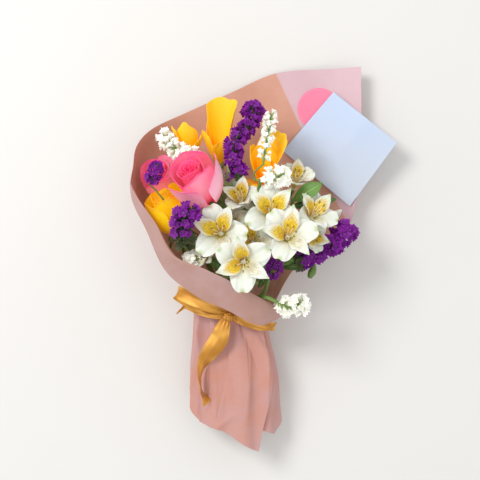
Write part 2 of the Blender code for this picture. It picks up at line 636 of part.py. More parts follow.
def make_iris(name, petal_finish, leaf_finish):
    base, facing, roll, petals = IRISES[name]
    frame = head_frame(base, facing, roll)
    blades = [petal(frame, *spec, wrap=0.6, cup=0.1, rounding=0.25, columns=3) for spec in petals]
    core = stalk(frame, (0, 7, 16), (2.6, 4.2, 3.0), 6)
    fuse(f"{name}_petals", petal_finish, [core], blades)

    path = stem_path(name, frame @ Vector((0, 0, -20)), facing)
    sheath = stalk(frame, (-22, -12, -4, -GAP), (2.4, 4.0, 4.4, 2.8))
    bracts = [
        petal(frame, 60, [(2, -18), (6, -14), (8, -6), (11, 2)], [3, 4, 3.5, 0.8], rounding=0.0, columns=2),
        petal(frame, 240, [(2, -18), (6, -14), (8, -8), (12, -2)], [3, 4, 3.5, 0.8], rounding=0.0, columns=2),
    ]
    fuse(f"{name}_stem", leaf_finish, [stem_tube(path), sheath], bracts)


def make_alstroemeria_bloom(name, finish):
    base, facing, roll, size, opening = ALSTROEMERIA[name]
    frame = head_frame(base, facing, roll) @ Matrix.Scale(size, 4)
    blades = []
    for turn, (root, throat, bend, tip), widths in ALSTROEMERIA_TEPALS:
        tip = (bend[0] + (tip[0] - bend[0]) * opening, tip[1] + (1 - opening) * 14)
        columns = 3 if widths[-1] > 10 else 2
        curve = [root, throat, bend, tip]
        blades.append(petal(frame, turn, curve, widths, wrap=0.9, rounding=0.28, columns=columns))
    core = stalk(frame, (0, 4, 13), (2.2, 3.6, 3.4), 6)
    stamens = []
    for k in range(3):
        turn = math.radians(120 * k + 80)
        side = Vector((math.cos(turn), math.sin(turn), 0))
        path = [frame @ (side * r + Vector((0, 0, z))) for r, z in ((1.2, 10), (2.5, 22), (7, 33))]
        stamens.append(tube_body(path, [0.9, 0.8, 1.1], 3))
    fuse(name, finish, [core] + stamens, blades)


def make_alstroemeria_bud(name, finish):
    base, facing, size = BUDS[name]
    frame = head_frame(base, facing) @ Matrix.Scale(size, 4)
    path = [frame @ Vector((0, 0, z)) for z in (0, 5, 13, 22, 30)]
    mesh_object(name, *tube_body(path, [2.2, 4.4, 6.4, 5.2, 1.2], 6, star=0.25), finish)


def make_umbel(name, finish):
    """An alstroemeria stem, its ring of small leaves, and a stalk to each of its blooms and buds."""
    hub, carried, leaves = UMBELS[name]
    hub = Vector(hub)
    heading = Vector((0, 0.8, 0.6))
    path = stem_path(name, hub, heading)
    joint = [hub - heading * 4, hub, hub + heading * 4]
    bodies = [stem_tube(path, 2.4), tube_body(joint, [2.2, 3.6, 2.2], 6)]
    for head in carried:
        if head in BUDS:
            base, facing, size = BUDS[head]
        else:
            base, facing, _, size, _ = ALSTROEMERIA[head]
        frame = head_frame(base, facing) @ Matrix.Scale(size, 4)
        top = frame @ Vector((0, 0, -GAP / size))
        swell, under = frame @ Vector((0, 0, -4)), frame @ Vector((0, 0, -9))
        arrive = under - Vector(facing).normalized() * (under - hub).length * 0.3
        bend = [hub, hub.lerp(under, 0.35) + heading * 5, arrive, under]
        stalk_path = [bezier(bend, k / 3) for k in range(4)] + [swell, top]
        bodies.append(tube_body(stalk_path, [1.5, 1.5, 1.5, 1.6, 2.7, 1.9], 4))
    whorl = [leaf([hub, hub + heading], 0, *spec) for spec in leaves]
    fuse(name, finish, bodies, whorl)


def make_statice(name, flower_finish, leaf_finish, table, seed):
    path, *form = table[name]
    path = [Vector(p) for p in path]
    mesh_object(f"{name}_florets", *floret_spike(path, *form, seed), flower_finish)
    if name not in STEMS:
        return
    heading = (spline(path, 0.05) - path[0]).normalized()
    route = stem_path(name, path[0] - heading * 2 * GAP, heading)
    bodies = [stem_tube(route, 1.9)]
    if name in SIDE_BRANCHES:
        carried, start, bends = SIDE_BRANCHES[name]
        spike = [Vector(p) for p in table[carried][0]]
        heading = (spline(spike, 0.05) - spike[0]).normalized()
        end = spike[0] - heading * 2 * GAP
        way = [spline(route, start)] + [Vector(p) for p in bends] + [end - heading * 3, end]
        bodies.append(tube_body(way, 1.4, 5))
    fuse(f"{name}_stem", leaf_finish, bodies)


def make_foliage(finish):
    path = stem_path("foliage", (32, 70, 92), (0.05, 0.8, 0.6))
    leaves = [leaf(path, *spec) for spec in FOLIAGE_LEAVES]
    droop = [spline(path, 3.6)] + [Vector(p) for p in POD_STALK]
    pod = tube_body([spline(droop, k / 2) for k in range(9)], [1.6, 1.6, 1.6, 1.7, 2, 3, 4.2, 5.2, 3.2], 6)
    fuse("foliage", finish, [stem_tube(path, 2.0), pod], leaves)


def make_tie(finish):
    slots = [Vector((a * STEM_PITCH, 0, u * ROW_PITCH)) + TIE for a, u, *_ in STEMS.values()]
    inner = support_loop(slots, TIE, 20, TIE_RADIUS + GAP)
    outer = support_loop(slots, TIE, 20, TIE_RADIUS + GAP + 1.0)
    mesh_object("stems_tie", *closed_ring(inner, outer, 4.0, Vector((0, 1, 0))), finish)


def slanted(x):
    """Where the ribbon runs along Y, for a place across the neck."""
    return NECK_CENTRE.y - NECK_SLANT * (x - NECK_CENTRE.x)


def under_band(sheet_points):
    """The places along the sheet's lengthwise edges that lie under the ribbon's band, not on the cuff."""
    wide = SHEET_COLUMNS + 1
    rows = SHEET_LEVELS.index(3.4)
    edges = zip(sheet_points[:rows * wide], sheet_points[wide:])
    places = [low.lerp(high, k / 10) for low, high in edges for k in range(11)]
    return [p for p in places if abs(p.y - slanted(p.x)) < 5.2]


def make_ribbon(finish, sheet_points):
    near = under_band(sheet_points)
    inner, outer = (support_loop(near, NECK_CENTRE, 28, rise) for rise in (BAND_RISE, BAND_RISE + BLADE))
    for p in inner + outer:
        p.y = slanted(p.x)
    mesh_object("ribbon_band", *closed_ring(inner, outer, 5.0, Vector((0, 1, 0))), finish)
    knot = tube_body([Vector(p) for p in KNOT], [3.0, 5.6, 6.4, 5.6, 3.0], 8)
    pieces = [
        strip([Vector(p) for p in path], across, widths, rows=rows, columns=2)
        for path, across, widths, rows in RIBBON_PIECES
    ]
    fuse("ribbon_bow", finish, [knot], pieces, merge=False)


def make_card(finish):
    corners = [Vector(p) for p in CARD_CORNERS]
    normal = (corners[1] - corners[0]).cross(corners[2] - corners[0]).normalized()
    if normal.z < 0:
        normal.negate()
    top = [p + normal * CARD_THICKNESS for p in corners]
    faces = [(0, 1, 2, 3), (7, 6, 5, 4)] + [(i, i + 4, (i + 1) % 4 + 4, (i + 1) % 4) for i in range(4)]
    mesh_object("message_card", corners + top, faces, finish)


def make_label(finish, tree):
    """A thin round label that follows the paper under it."""
    points, faces = [], []
    rings, sides = 2, 20
    for k in range(rings + 1):
        for i in range(sides if k else 1):
            turn = 2 * math.pi * i / sides
            x = LABEL_CENTRE[0] + LABEL_RADIUS * k / rings * math.cos(turn)
            y = LABEL_CENTRE[1] + LABEL_RADIUS * k / rings * math.sin(turn)
            hit = tree.ray_cast(Vector((x, y, 300)), Vector((0, 0, -1)))[0]
            points.append(hit + Vector((0, 0, PAPER_THICKNESS / 2 + GAP + LABEL_THICKNESS / 2)))
    for i in range(sides):
        j = (i + 1) % sides
        faces.append((0, 1 + i, 1 + j))
        for k in range(1, rings):
            a, b = 1 + (k - 1) * sides, 1 + k * sides
            faces += [(a + i, b + i, b + j), (a + i, b + j, a + j)]
    thicken(mesh_object("round_label", points, faces, finish), LABEL_THICKNESS)


def main():
    clear_scene()
    paper = material("paper", (0.70, 0.42, 0.38), 0.75)
    ribbon = material("ribbon", (0.68, 0.38, 0.06), 0.35)
    card = material("card", (0.66, 0.78, 0.95), 0.6)
    label = material("label", (0.95, 0.28, 0.42), 0.5)
    pink = material("pink_petals", (0.90, 0.20, 0.36), 0.6)
    yellow = material("yellow_petals", (0.95, 0.55, 0.02), 0.6)
    white = material("white_petals", (0.82, 0.86, 0.76), 0.6)
    purple = material("purple_florets", (0.17, 0.01, 0.30), 0.7)
    cream = material("white_florets", (0.80, 0.82, 0.74), 0.7)
    green = material("green_leaves", (0.10, 0.22, 0.05), 0.6)
    twine = material("twine", (0.45, 0.33, 0.18), 0.9)

    sheet = make_wrapper(paper)
    tree = BVHTree.FromPolygons(*sheet)
    make_label(label, tree)
    make_card(card)
    make_ribbon(ribbon, sheet[0])
    make_tie(twine)
    make_rose("rose_pink_front", pink, green)
    make_rose("rose_pink_back", pink, green)
    make_rose("rose_yellow", yellow, green)
    for name in IRISES:
        make_iris(name, yellow, green)
    for name in ALSTROEMERIA:
        make_alstroemeria_bloom(name, white)
    for name in BUDS:
        make_alstroemeria_bud(name, white)
    for name in UMBELS:
        make_umbel(name, green)
    for seed, name in enumerate(STATICE):
        make_statice(name, purple, green, STATICE, SEED + seed)
    for seed, name in enumerate(WHITE_STATICE):
        make_statice(name, cream, green, WHITE_STATICE, SEED + 20 + seed)
    make_foliage(green)


main()
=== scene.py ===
import math
import random

import bpy
import numpy as np
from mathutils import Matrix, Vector


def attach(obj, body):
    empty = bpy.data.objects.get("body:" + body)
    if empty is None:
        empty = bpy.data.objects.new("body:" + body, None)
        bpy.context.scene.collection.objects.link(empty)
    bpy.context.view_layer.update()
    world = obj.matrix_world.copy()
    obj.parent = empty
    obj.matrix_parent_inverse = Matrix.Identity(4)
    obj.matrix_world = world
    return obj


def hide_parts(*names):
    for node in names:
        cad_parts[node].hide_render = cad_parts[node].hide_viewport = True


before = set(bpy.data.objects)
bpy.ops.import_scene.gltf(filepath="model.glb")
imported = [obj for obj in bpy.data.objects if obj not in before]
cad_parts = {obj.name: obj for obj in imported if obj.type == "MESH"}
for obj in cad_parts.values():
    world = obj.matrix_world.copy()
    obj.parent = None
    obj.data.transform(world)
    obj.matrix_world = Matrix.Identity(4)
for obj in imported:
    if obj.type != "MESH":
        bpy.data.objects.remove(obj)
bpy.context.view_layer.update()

# Sizes are in millimetres until a mesh is made. +Z is up and +Y runs from the cut stems to the flowers.
MM = 0.001
ORIGIN = np.array((1.31, 0.49, 0.0))
SEED = 11

# ---- The design, as the solids have it ----

NECK_CENTRE = np.array((-41.6, -67.0, 35.0))
NECK_HALF = (42.0, 24.0)
NECK_SLANT = 0.3
MID_SKIRT = (51.0, 29.0, (-37.0, -142.0, 28.0))
HEM_SKIRT = (53.0, 28.0, (-35.0, 0.0, 26.0))
PLEATS = 9
PLEAT_DEPTH = (2.6, 2.4, 1.8, 0.0)
SPIRAL = 0.13

# Each rib of the sheet: its angle at the neck and in the skirt, the hem's Y, then belly, shoulder, rim, edge.
RIBS = [
    (-20, -75, -200, (40, -11, 34), (104, 39, 30), (118, 145, 26), (119, 235, 26)),
    (12, -25, -214, (26, 3, 16), (76, 65, 12), (88, 158, 12), (82, 234, 14)),
    (45, 20, -188, (8, 9, 3), (33, 84, 0), (26, 166, 0), (16, 230, 4)),
    (75, 60, -192, (-17, 9, 0), (-17, 84, 0), (-26, 160, 0), (-40, 206, 6)),
    (105, 95, -197, (-45, 9, 0), (-65, 78, 0), (-85, 141, 2), (-96, 180, 14)),
    (135, 128, -197, (-74, 9, 2), (-108, 65, 4), (-129, 127, 18), (-137, 158, 36)),
    (160, 155, -183, (-101, 4, 18), (-138, 52, 30), (-152, 106, 48), (-152, 136, 64)),
    (183, 178, -173, (-113, 0, 45), (-146, 43, 62), (-156, 89, 76), (-156, 109, 88)),
    (205, 198, -184, (-111, -5, 70), (-140, 39, 88), (-152, 74, 102), (-157, 72, 98)),
    (228, 217, -198, (-101, -11, 82), (-121, 22, 98), (-128, 41, 111), (-139, 32, 98)),
    (250, 235, -203, (-82, -25, 86), (-100, -4, 104), (-108, 3, 115), (-117, -14, 96)),
    (272, 252, -208, (-59, -40, 86), (-69, -21, 106), (-68, -14, 118), (-81, -44, 100)),
    (295, 268, -217, (-37, -49, 84), (-39, -36, 104), (-35, -30, 116), (-44, -61, 100)),
    (318, 284, -228, (-16, -59, 78), (-10, -51, 94), (-5, -48, 106), (-10, -78, 92)),
    (345, 300, -234, (1, -66, 66), (13, -60, 80), (23, -62, 88), (12, -72, 84)),
]

TIE = np.array((-41.6, -76.0, 28.0))
STEM_PITCH, ROW_PITCH, TIE_RADIUS = 6.6, 5.72, 3.1
CUT_Z, CUT_SPREAD = 24.0, 1.2

ROSES = {
    "rose_pink_front": ((-70, 70, 90), (-0.40, 0.58, 0.68), 20, 1.12, 0.9),
    "rose_pink_back": ((-118, 82, 38), (-0.28, 0.58, 0.74), 70, 0.85, 0.5),
    "rose_yellow": ((-105, 30, 60), (-0.32, 0.70, 0.62), 130, 1.02, 0.35),
}
# Turn, radius of the cup, height of the rim, half width, opening and wrap of each petal.
ROSE_PETALS = [
    (10, 5.0, 47, 9.0, 0.5, 1.0),
    (150, 7.0, 48, 11.0, 1.5, 1.0),
    (265, 9.0, 48.5, 12.5, 2.5, 0.95),
    (30, 12.0, 49, 15.0, 4.0, 0.9),
    (160, 14.0, 49, 16.5, 5.5, 0.85),
    (285, 16.0, 49, 17.5, 7.0, 0.8),
    (85, 19.0, 47, 19.0, 9.5, 0.7),
    (215, 20.5, 46, 20.0, 11.5, 0.65),
    (335, 21.5, 44, 20.5, 13.0, 0.6),
]

IRISES = {
    "iris_1": ((-90, 121, 52), (-0.12, 0.92, 0.36), 0, [
        (-95, [(2, 0), (7, 14), (12, 30), (8, 48)], [4, 10, 13, 3]),
        (-165, [(2, 0), (9, 14), (15, 28), (17, 44)], [3, 6, 7, 3]),
        (-25, [(2, 0), (10, 8), (16, 16), (20, 30)], [3, 7, 9, 3]),
        (170, [(2, 0), (12, 2), (20, 6), (25, 12)], [3, 6, 8, 5]),
    ]),
    "iris_2": ((-56, 114, 50), (0.1, 0.94, 0.33), 0, [
        (62, [(2, 0), (7, 20), (9, 48), (12, 80)], [5, 12, 20, 20]),
        (-160, [(2, 0), (11, 10), (20, 24), (24, 42)], [4, 9, 13, 9]),
        (140, [(2, 0), (9, 14), (17, 32), (22, 50)], [4, 8, 10, 6]),
        (-70, [(2, 0), (10, 10), (19, 20), (20, 36)], [4, 9, 13, 9]),
        (0, [(2, 0), (12, 12), (18, 30), (16, 50)], [4, 8, 9, 5]),
    ]),
    "iris_3": ((-3, 87, 75), (0.04, 0.90, 0.44), 0, [
        (40, [(2, 0), (10, 16), (17, 40), (26, 62)], [4, 12, 17, 11]),
        (155, [(2, 0), (12, 14), (18, 32), (17, 48)], [4, 11, 14, 8]),
        (95, [(2, 0), (8, 14), (13, 32), (13, 50)], [4, 10, 13, 8]),
        (-62, [(2, 0), (13, 9), (22, 15), (27, 22)], [4, 9, 13, 10]),
        (-130, [(2, 0), (12, 6), (21, 9), (27, 5)], [4, 8, 10, 7]),
    ]),
}

ALSTROEMERIA = {
    "alstroemeria_bloom_1": ((-50, 27, 96), (-0.15, 0.15, 0.97), 20, 1.0, 1.0),
    "alstroemeria_bloom_2": ((-14, 16, 80), (0.0, 0.2, 0.98), 75, 0.96, 0.95),
    "alstroemeria_bloom_3": ((5, 46, 96), (0.05, 0.34, 0.94), 5, 1.0, 1.0),
    "alstroemeria_bloom_4": ((23, 21, 114), (0.10, 0.28, 0.95), 40, 1.0, 1.0),
    "alstroemeria_bloom_5": ((-26, -2, 109), (0.0, -0.1, 0.99), 60, 1.0, 1.0),
    "alstroemeria_bloom_6": ((-27, 60, 82), (-0.12, 0.53, 0.83), 30, 0.86, 0.6),
    "alstroemeria_bloom_7": ((48, 42, 84), (0.42, 0.48, 0.76), 15, 0.92, 0.85),
    "alstroemeria_bloom_8": ((34, 82, 58), (0.2, 0.7, 0.68), 50, 0.8, 0.65),
}
BUDS = {
    "alstroemeria_bud_1": ((-50, 84, 76), (-0.2, 0.78, 0.6), 1.0),
    "alstroemeria_bud_2": ((74, 44, 66), (0.6, 0.5, 0.6), 0.85),
}
UMBELS = {
    "alstroemeria_stem_1": ((-37, -16, 65),
                            ["alstroemeria_bloom_1", "alstroemeria_bloom_2", "alstroemeria_bloom_5"],
                            [((-8, -30, 84), 4, (1, 0.3, 0))]),
    "alstroemeria_stem_2": ((20, 20, 73),
                            ["alstroemeria_bloom_3", "alstroemeria_bloom_4", "alstroemeria_bloom_7",
                             "alstroemeria_bud_2"],
                            [((54, 8, 50), 5, (0.2, 1, 0))]),
    "alstroemeria_stem_3": ((-34, 47, 44),
                            ["alstroemeria_bloom_6", "alstroemeria_bloom_8", "alstroemeria_bud_1"],
                            [((-14, 72, 70), 4, (1, 0, 0.2))]),
}

# Points along each spike, radii of its core, rings and sides of florets, and how long they are.
STATICE = {
    "statice_purple_1": ([(-29, 91, 98), (-37, 112, 101), (-36, 137, 95), (-18, 158, 84), (-14, 181, 76)],
                         [1.5, 3, 3.5, 3.5, 2], 12, 5, 10),
    "statice_purple_2": ([(-133, 88, 108), (-128, 98, 118), (-125, 106, 124)], [1.5, 2.5, 1.5], 4, 5, 7),
    "statice_purple_3": ([(-93, 14, 100), (-97, 30, 120), (-95, 44, 139), (-84, 56, 148)],
                         [1.5, 3, 4, 3], 8, 5, 10),
    "statice_purple_4": ([(30, -4, 76), (50, 2, 80), (68, 14, 84), (86, 22, 88), (98, 34, 90)],
                         [1.5, 2.5, 4, 4, 3], 9, 5, 11.5),
    "statice_purple_5": ([(4, -24, 90), (9, -12, 98), (13, -2, 102)], [1.5, 2.5, 1.5], 4, 4, 7),
}
WHITE_STATICE = {
    "statice_white_1": ([(-78, 118, 88), (-94, 124, 86), (-110, 132, 80), (-121, 147, 70)],
                        [1.5, 3, 3.5, 2], 7, 5, 9),
    "statice_white_2": ([(-3, 112, 114), (1, 136, 110), (4, 154, 98), (7, 170, 88)], [1.5, 3, 3, 2], 7, 4, 9),
    "statice_white_3": ([(-3, 90, 116), (10, 93.5, 120.5), (24, 94, 120)], [1.5, 3.5, 2], 4, 5, 10),
    "statice_white_4": ([(13, -50, 109), (28, -56, 109), (45, -50, 106)], [1.5, 3.5, 2], 5, 5, 9),
    "statice_white_5": ([(-75, 2, 90), (-83, 0, 92.5), (-91, -1, 94)], [1.5, 3, 2], 4, 5, 7.5),
}

STEMS = {
    "rose_pink_front": (-1.5, 0.5, -182, 0.34, (0, -1, 11), (-5, -1, 4)),
    "rose_pink_back": (-2, -0.5, -190, 0.31, (3, -2, 5), (2, -9, -4)),
    "rose_yellow": (-1.5, -1.5, -186, 0.30, (-1, 2, -9), (-17, -4, -2)),
    "iris_1": (-0.5, -1.5, -182, 0.29, (-4, 3, -1), (13, 7, -11)),
    "iris_2": (0.5, -1.5, -188, 0.36, (5, -4, 0), (4, -6, -10)),
    "iris_3": (0, -0.5, -192, 0.25, (0, 3, -2), (5, 4, 6)),
    "statice_purple_1": (0.5, 0.5, -180, 0.15, (0, 6, 1), (20, 29, -4)),
    "statice_purple_3": (-2, 1.5, -183, 0.15, (6, 7, 4), (12, 30, 5)),
    "statice_purple_4": (2, 1.5, -188, 0.27, (1, -1, -1), (-3, 6, -2)),
    "statice_purple_5": (2.5, 0.5, -189, 0.15, (0, -7, -8), (2, -12, 1)),
    "statice_white_1": (-0.5, 0.5, -186, 0.15, (-2, 8, -3), (7, -10, -23)),
    "statice_white_3": (1, -0.5, -186, 0.15, (10, 0, -8), (20, -7, -11)),
    "statice_white_4": (1, 1.5, -184, 0.15, (0, 0, 6), (-1, 7, 8)),
    "statice_white_5": (-1, 1.5, -187, 0.25, (1, -8, 8), (9, -6, 1)),
    "alstroemeria_stem_1": (0, 1.5, -181, 0.15, (-1, -2, 3), (-2, 8, -8)),
    "alstroemeria_stem_2": (1.5, 0.5, -181, 0.46, (3, 2, 3), (-3, -9, 13)),
    "alstroemeria_stem_3": (-1, -0.5, -190, 0.50, (-9, 2, 9), (3, -3, 4)),
    "foliage": (2, -0.5, -183, 0.36, (3, -3, -1), (7, -6, 2)),
}
SIDE_BRANCHES = {
    "statice_purple_3": ("statice_purple_2", 6.4, [(-103, 38, 98), (-112, 58, 97), (-126, 77, 102)]),
    "statice_white_3": ("statice_white_2", 7.0, [(-14, 92, 109), (-12, 101, 112)]),
}
POD_STALK = [(44, 2, 54), (56, -3, 57), (58, -13, 58), (54, -23, 56)]
FOLIAGE_LEAVES = [
    (7.0, (66, 88, 102), 9, (0.3, -0.9, 0.2), 4),
    (6.7, (84, 70, 79), 8, (0.3, -0.9, 0.2), 4),
]

KNOT = [(-50, -69, 73.4), (-47, -69, 73.4), (-43, -69, 73.4), (-39, -69, 73.4), (-36, -69, 73.4)]
RIBBON_PIECES = [
    ([(-43, -66, 75), (-58, -61, 82), (-76, -53, 87), (-93, -45, 86), (-103, -40, 82), (-102, -44, 76),
      (-88, -53, 74), (-72, -60, 74), (-57, -65, 73), (-43, -68, 70)],
     [(0.4, 0.9, 0.1)], [3, 5, 6.5, 7.5, 7.5, 7.5, 7.5, 6.5, 5, 3]),
    ([(-44, -70, 74), (-62, -69, 73), (-80, -64, 70), (-94, -58, 66), (-101, -62, 64), (-106, -67, 62)],
     [(0.3, 0.7, 0.7)], [3, 3.5, 4, 4, 2.5, 1.2]),
    ([(-41, -66, 75), (-26, -71, 79), (-10, -77, 78.5), (3, -80, 75), (11, -81, 71), (9, -82, 66.5),
      (-6, -82, 67), (-24, -77, 70), (-41, -70, 71)],
     [(0.35, 0.8, 0.5)], [3, 4.5, 5, 5, 5, 5, 5, 4.5, 3]),
    ([(-46, -70, 73), (-51, -84, 75), (-56, -98, 72), (-70, -119, 68.5), (-76, -134, 66), (-77, -147, 64),
      (-75, -161, 61.5), (-68, -174, 58)],
     [(1, 0, 0), (1, 0, 0.1), (1, -0.3, 0.1), (0.9, 0, -0.4), (0.4, 0, -0.9), (0.1, 0, -1), (0.1, 0, -1),
      (0.8, -0.3, -0.5)], [4.5, 9, 11, 10, 9, 9, 8.5, 8]),
]
CARD_CORNERS = [(86, 205, 15.3), (161, 140, 40.8), (105, 63, 28.4), (24, 133, 0.9)]
LABEL_CENTRE, LABEL_RADIUS = (68, 185), 26.0


# ---- Curves and frames ----

def unit(v):
    v = np.asarray(v, float)
    return v / np.maximum(np.linalg.norm(v, axis=-1, keepdims=True), 1e-9)


def smooth(points, t):
    """Places on a smooth curve through the points; t counts from 0 to the last one."""
    points = np.asarray(points, float)
    t = np.asarray(t, float)
    last = len(points) - 1
    i = np.clip(np.floor(t).astype(int), 0, last - 1)
    wide = t.shape + (1,) * (points.ndim - 1)
    f = (t - i).reshape(wide)
    b, c = points[i], points[i + 1]
    a = np.where((i > 0).reshape(wide), points[np.maximum(i - 1, 0)], 2 * b - c)
    d = np.where((i < last - 1).reshape(wide), points[np.minimum(i + 2, last)], 2 * c - b)
    return (2 * b + (c - a) * f + (2 * a - 5 * b + 4 * c - d) * f**2 + (3 * b - a - 3 * c + d) * f**3) / 2


def bend(points, t):
    """Places on the arc that four points pull on; t from 0 to 1."""
    a, b, c, d = np.asarray(points, float)
    t = np.asarray(t, float)[..., None]
    return a * (1 - t) ** 3 + b * 3 * t * (1 - t) ** 2 + c * 3 * t * t * (1 - t) + d * t**3


def along(points, steps):
    return smooth(points, np.linspace(0, len(points) - 1, steps))


def stand(place, facing, roll=0.0, size=1.0):
    """Where a head sits: its own +Z is the way it faces, and its base is at the given place."""
    z = unit(facing)
    x = unit(np.array((1, 0, 0)) - z * z[0])
    turn = math.radians(roll)
    y = np.cross(z, x)
    x, y = x * math.cos(turn) + y * math.sin(turn), y * math.cos(turn) - x * math.sin(turn)
    placed = np.eye(4)
    placed[:3, :3] = np.stack((x, y, z), 1) * size
    placed[:3, 3] = place
    return placed


def put(placed, points):
    return np.asarray(points, float) @ placed[:3, :3].T + placed[:3, 3]


# ---- Meshes ----

class Body:
    """Gathers the closed shells of one piece, each with its finish and its own surface coordinates."""

    def __init__(self):
        self.points, self.faces, self.kinds, self.spread, self.side, self.tone = [], [], [], [], [], []
        self.finishes = []
        self.count = 0

    def add(self, points, faces, finish, spread=None, side=0.0, tone=0.0):
        points = np.asarray(points, float).reshape(-1, 3)
        if finish not in self.finishes:
            self.finishes.append(finish)
        kind = self.finishes.index(finish)
        self.points.append(points)
        self.faces += [tuple(int(v) + self.count for v in face) for face in faces]
        self.kinds += [kind] * len(faces)
        self.spread.append(np.zeros((len(points), 2)) if spread is None else spread)
        self.side.append(np.broadcast_to(side, len(points)))
        self.tone.append(np.broadcast_to(tone, len(points)))
        self.count += len(points)

    def take(self, mesh, finish):
        """Adds a mesh that is already in metres and in place."""
        points = np.empty(len(mesh.vertices) * 3)
        mesh.vertices.foreach_get("co", points)
        points = points.reshape(-1, 3) / MM + ORIGIN
        spread = np.zeros((len(points), 2))
        if mesh.uv_layers:
            spots = np.empty(len(mesh.loops) * 2)
            mesh.uv_layers[0].data.foreach_get("uv", spots)
            corner = np.empty(len(mesh.loops), dtype=int)
            mesh.loops.foreach_get("vertex_index", corner)
            spread[corner] = spots.reshape(-1, 2)
        tone = np.zeros(len(points))
        if "tone" in mesh.attributes:
            tone = np.empty(len(points))
            mesh.attributes["tone"].data.foreach_get("value", tone)
        self.add(points, [tuple(p.vertices) for p in mesh.polygons], finish, spread, 0.0, tone)

    def make(self, name, sharp=60):
        mesh = bpy.data.meshes.new(name)
        points = (np.concatenate(self.points) - ORIGIN) * MM
        mesh.from_pydata(points.tolist(), [], self.faces)
        mesh.polygons.foreach_set("material_index", self.kinds)
        for finish in self.finishes:
            mesh.materials.append(finish)
        corner = np.empty(len(mesh.loops), dtype=int)
        mesh.loops.foreach_get("vertex_index", corner)
        spots = mesh.uv_layers.new(name="spread")
        spots.data.foreach_set("uv", np.concatenate(self.spread)[corner].ravel())
        for name_of, values in (("side", self.side), ("tone", self.tone)):
            stored = mesh.attributes.new(name_of, "FLOAT", "POINT")
            stored.data.foreach_set("value", np.concatenate(values).astype(np.float32))
        mesh.shade_smooth()
        mesh.set_sharp_from_angle(angle=math.radians(sharp))
        made = bpy.data.objects.new(name, mesh)
        bpy.context.scene.collection.objects.link(made)
        return made


def dress(body, name, node, sharp=60):
    """Makes the piece that stands for a node of the frame."""
    made = body.make(name, sharp)
    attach(made, "root")
    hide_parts(*([node] if isinstance(node, str) else node))
    return made


def shell(body, grid, thickness, finish, tone=0.0, spread=None):
    """A thin closed shell from a grid of places, its front the side that the columns then rows turn to."""
    rows, columns = grid.shape[:2]
    down, across = np.gradient(grid, axis=0), np.gradient(grid, axis=1)
    normal = unit(np.cross(across, down))
    if spread is None:
        v, u = np.meshgrid(np.linspace(0, 1, rows), np.linspace(0, 1, columns), indexing="ij")
        spread = np.stack((u, v), -1)
    half = normal * (np.broadcast_to(thickness, grid.shape[:2])[..., None] / 2)
    points = np.concatenate(((grid + half).reshape(-1, 3), (grid - half).reshape(-1, 3)))
    count = rows * columns
    place = np.arange(count).reshape(rows, columns)
    a, b, c, d = place[:-1, :-1], place[:-1, 1:], place[1:, 1:], place[1:, :-1]
    front = np.stack((a, b, c, d), -1).reshape(-1, 4)
    back = front[:, ::-1] + count
    edge = np.concatenate((place[0, :-1], place[:-1, -1], place[-1, :0:-1], place[:0:-1, 0]))
    following = np.roll(edge, -1)
    rim = np.stack((following, edge, edge + count, following + count), -1)
    side = np.concatenate((np.zeros(count), np.ones(count)))
    both = np.concatenate((spread.reshape(-1, 2),) * 2)
    body.add(points, np.concatenate((front, back, rim)), finish, both, side, tone)


def tube(body, path, radii, sides, finish, star=0.0, lobes=None, tone=0.0, dome=True):
    """A closed round stem along the path, with domed ends. star draws its section in between lobes."""
    path = np.asarray(path, float)
    count = len(path)
    radii = np.broadcast_to(radii, count).astype(float)
    if dome:
        ends = (path[:1], path[-1:])
        first, last = unit(path[0] - path[1]) * radii[0] * 0.5, unit(path[-1] - path[-2]) * radii[-1] * 0.5
        path = np.concatenate((ends[0] + first, ends[0] + first * 0.6, path, ends[1] + last * 0.6, ends[1] + last))
        radii = np.concatenate(([radii[0] * 0.3, radii[0] * 0.8], radii, [radii[-1] * 0.8, radii[-1] * 0.3]))
        count += 4
    ahead = unit(np.gradient(path, axis=0))
    side = unit(np.cross(ahead[0], (0.31, 0.2, 0.93) if abs(ahead[0][2]) < 0.9 else (1, 0, 0)))
    turn = np.linspace(0, 2 * math.pi, sides, endpoint=False)
    reach = 1 - star * (0.5 - 0.5 * np.cos((lobes or sides / 2) * turn))
    rings = []
    for i in range(count):
        side = unit(side - ahead[i] * side.dot(ahead[i]))
        beside = np.cross(ahead[i], side)
        ring = np.outer(np.cos(turn) * reach, side) + np.outer(np.sin(turn) * reach, beside)
        rings.append(path[i] + ring * radii[i])
    place = np.arange(count * sides).reshape(count, sides)
    a, b = place[:-1], np.roll(place[:-1], -1, 1)
    faces = np.stack((a, b, b + sides, a + sides), -1).reshape(-1, 4).tolist()
    faces += [tuple(place[0][::-1]), tuple(place[-1])]
    u, v = np.meshgrid(turn / (2 * math.pi), np.linspace(0, 1, count))
    body.add(np.concatenate(rings), faces, finish, np.stack((u, v), -1).reshape(-1, 2), 0.0, tone)


# ---- Finishes ----

def srgb(*levels):
    """A colour by its screen levels from 0 to 255, as light."""
    return tuple(((x / 255 + 0.055) / 1.055) ** 2.4 if x > 10 else x / 255 / 12.92 for x in levels) + (1.0,)


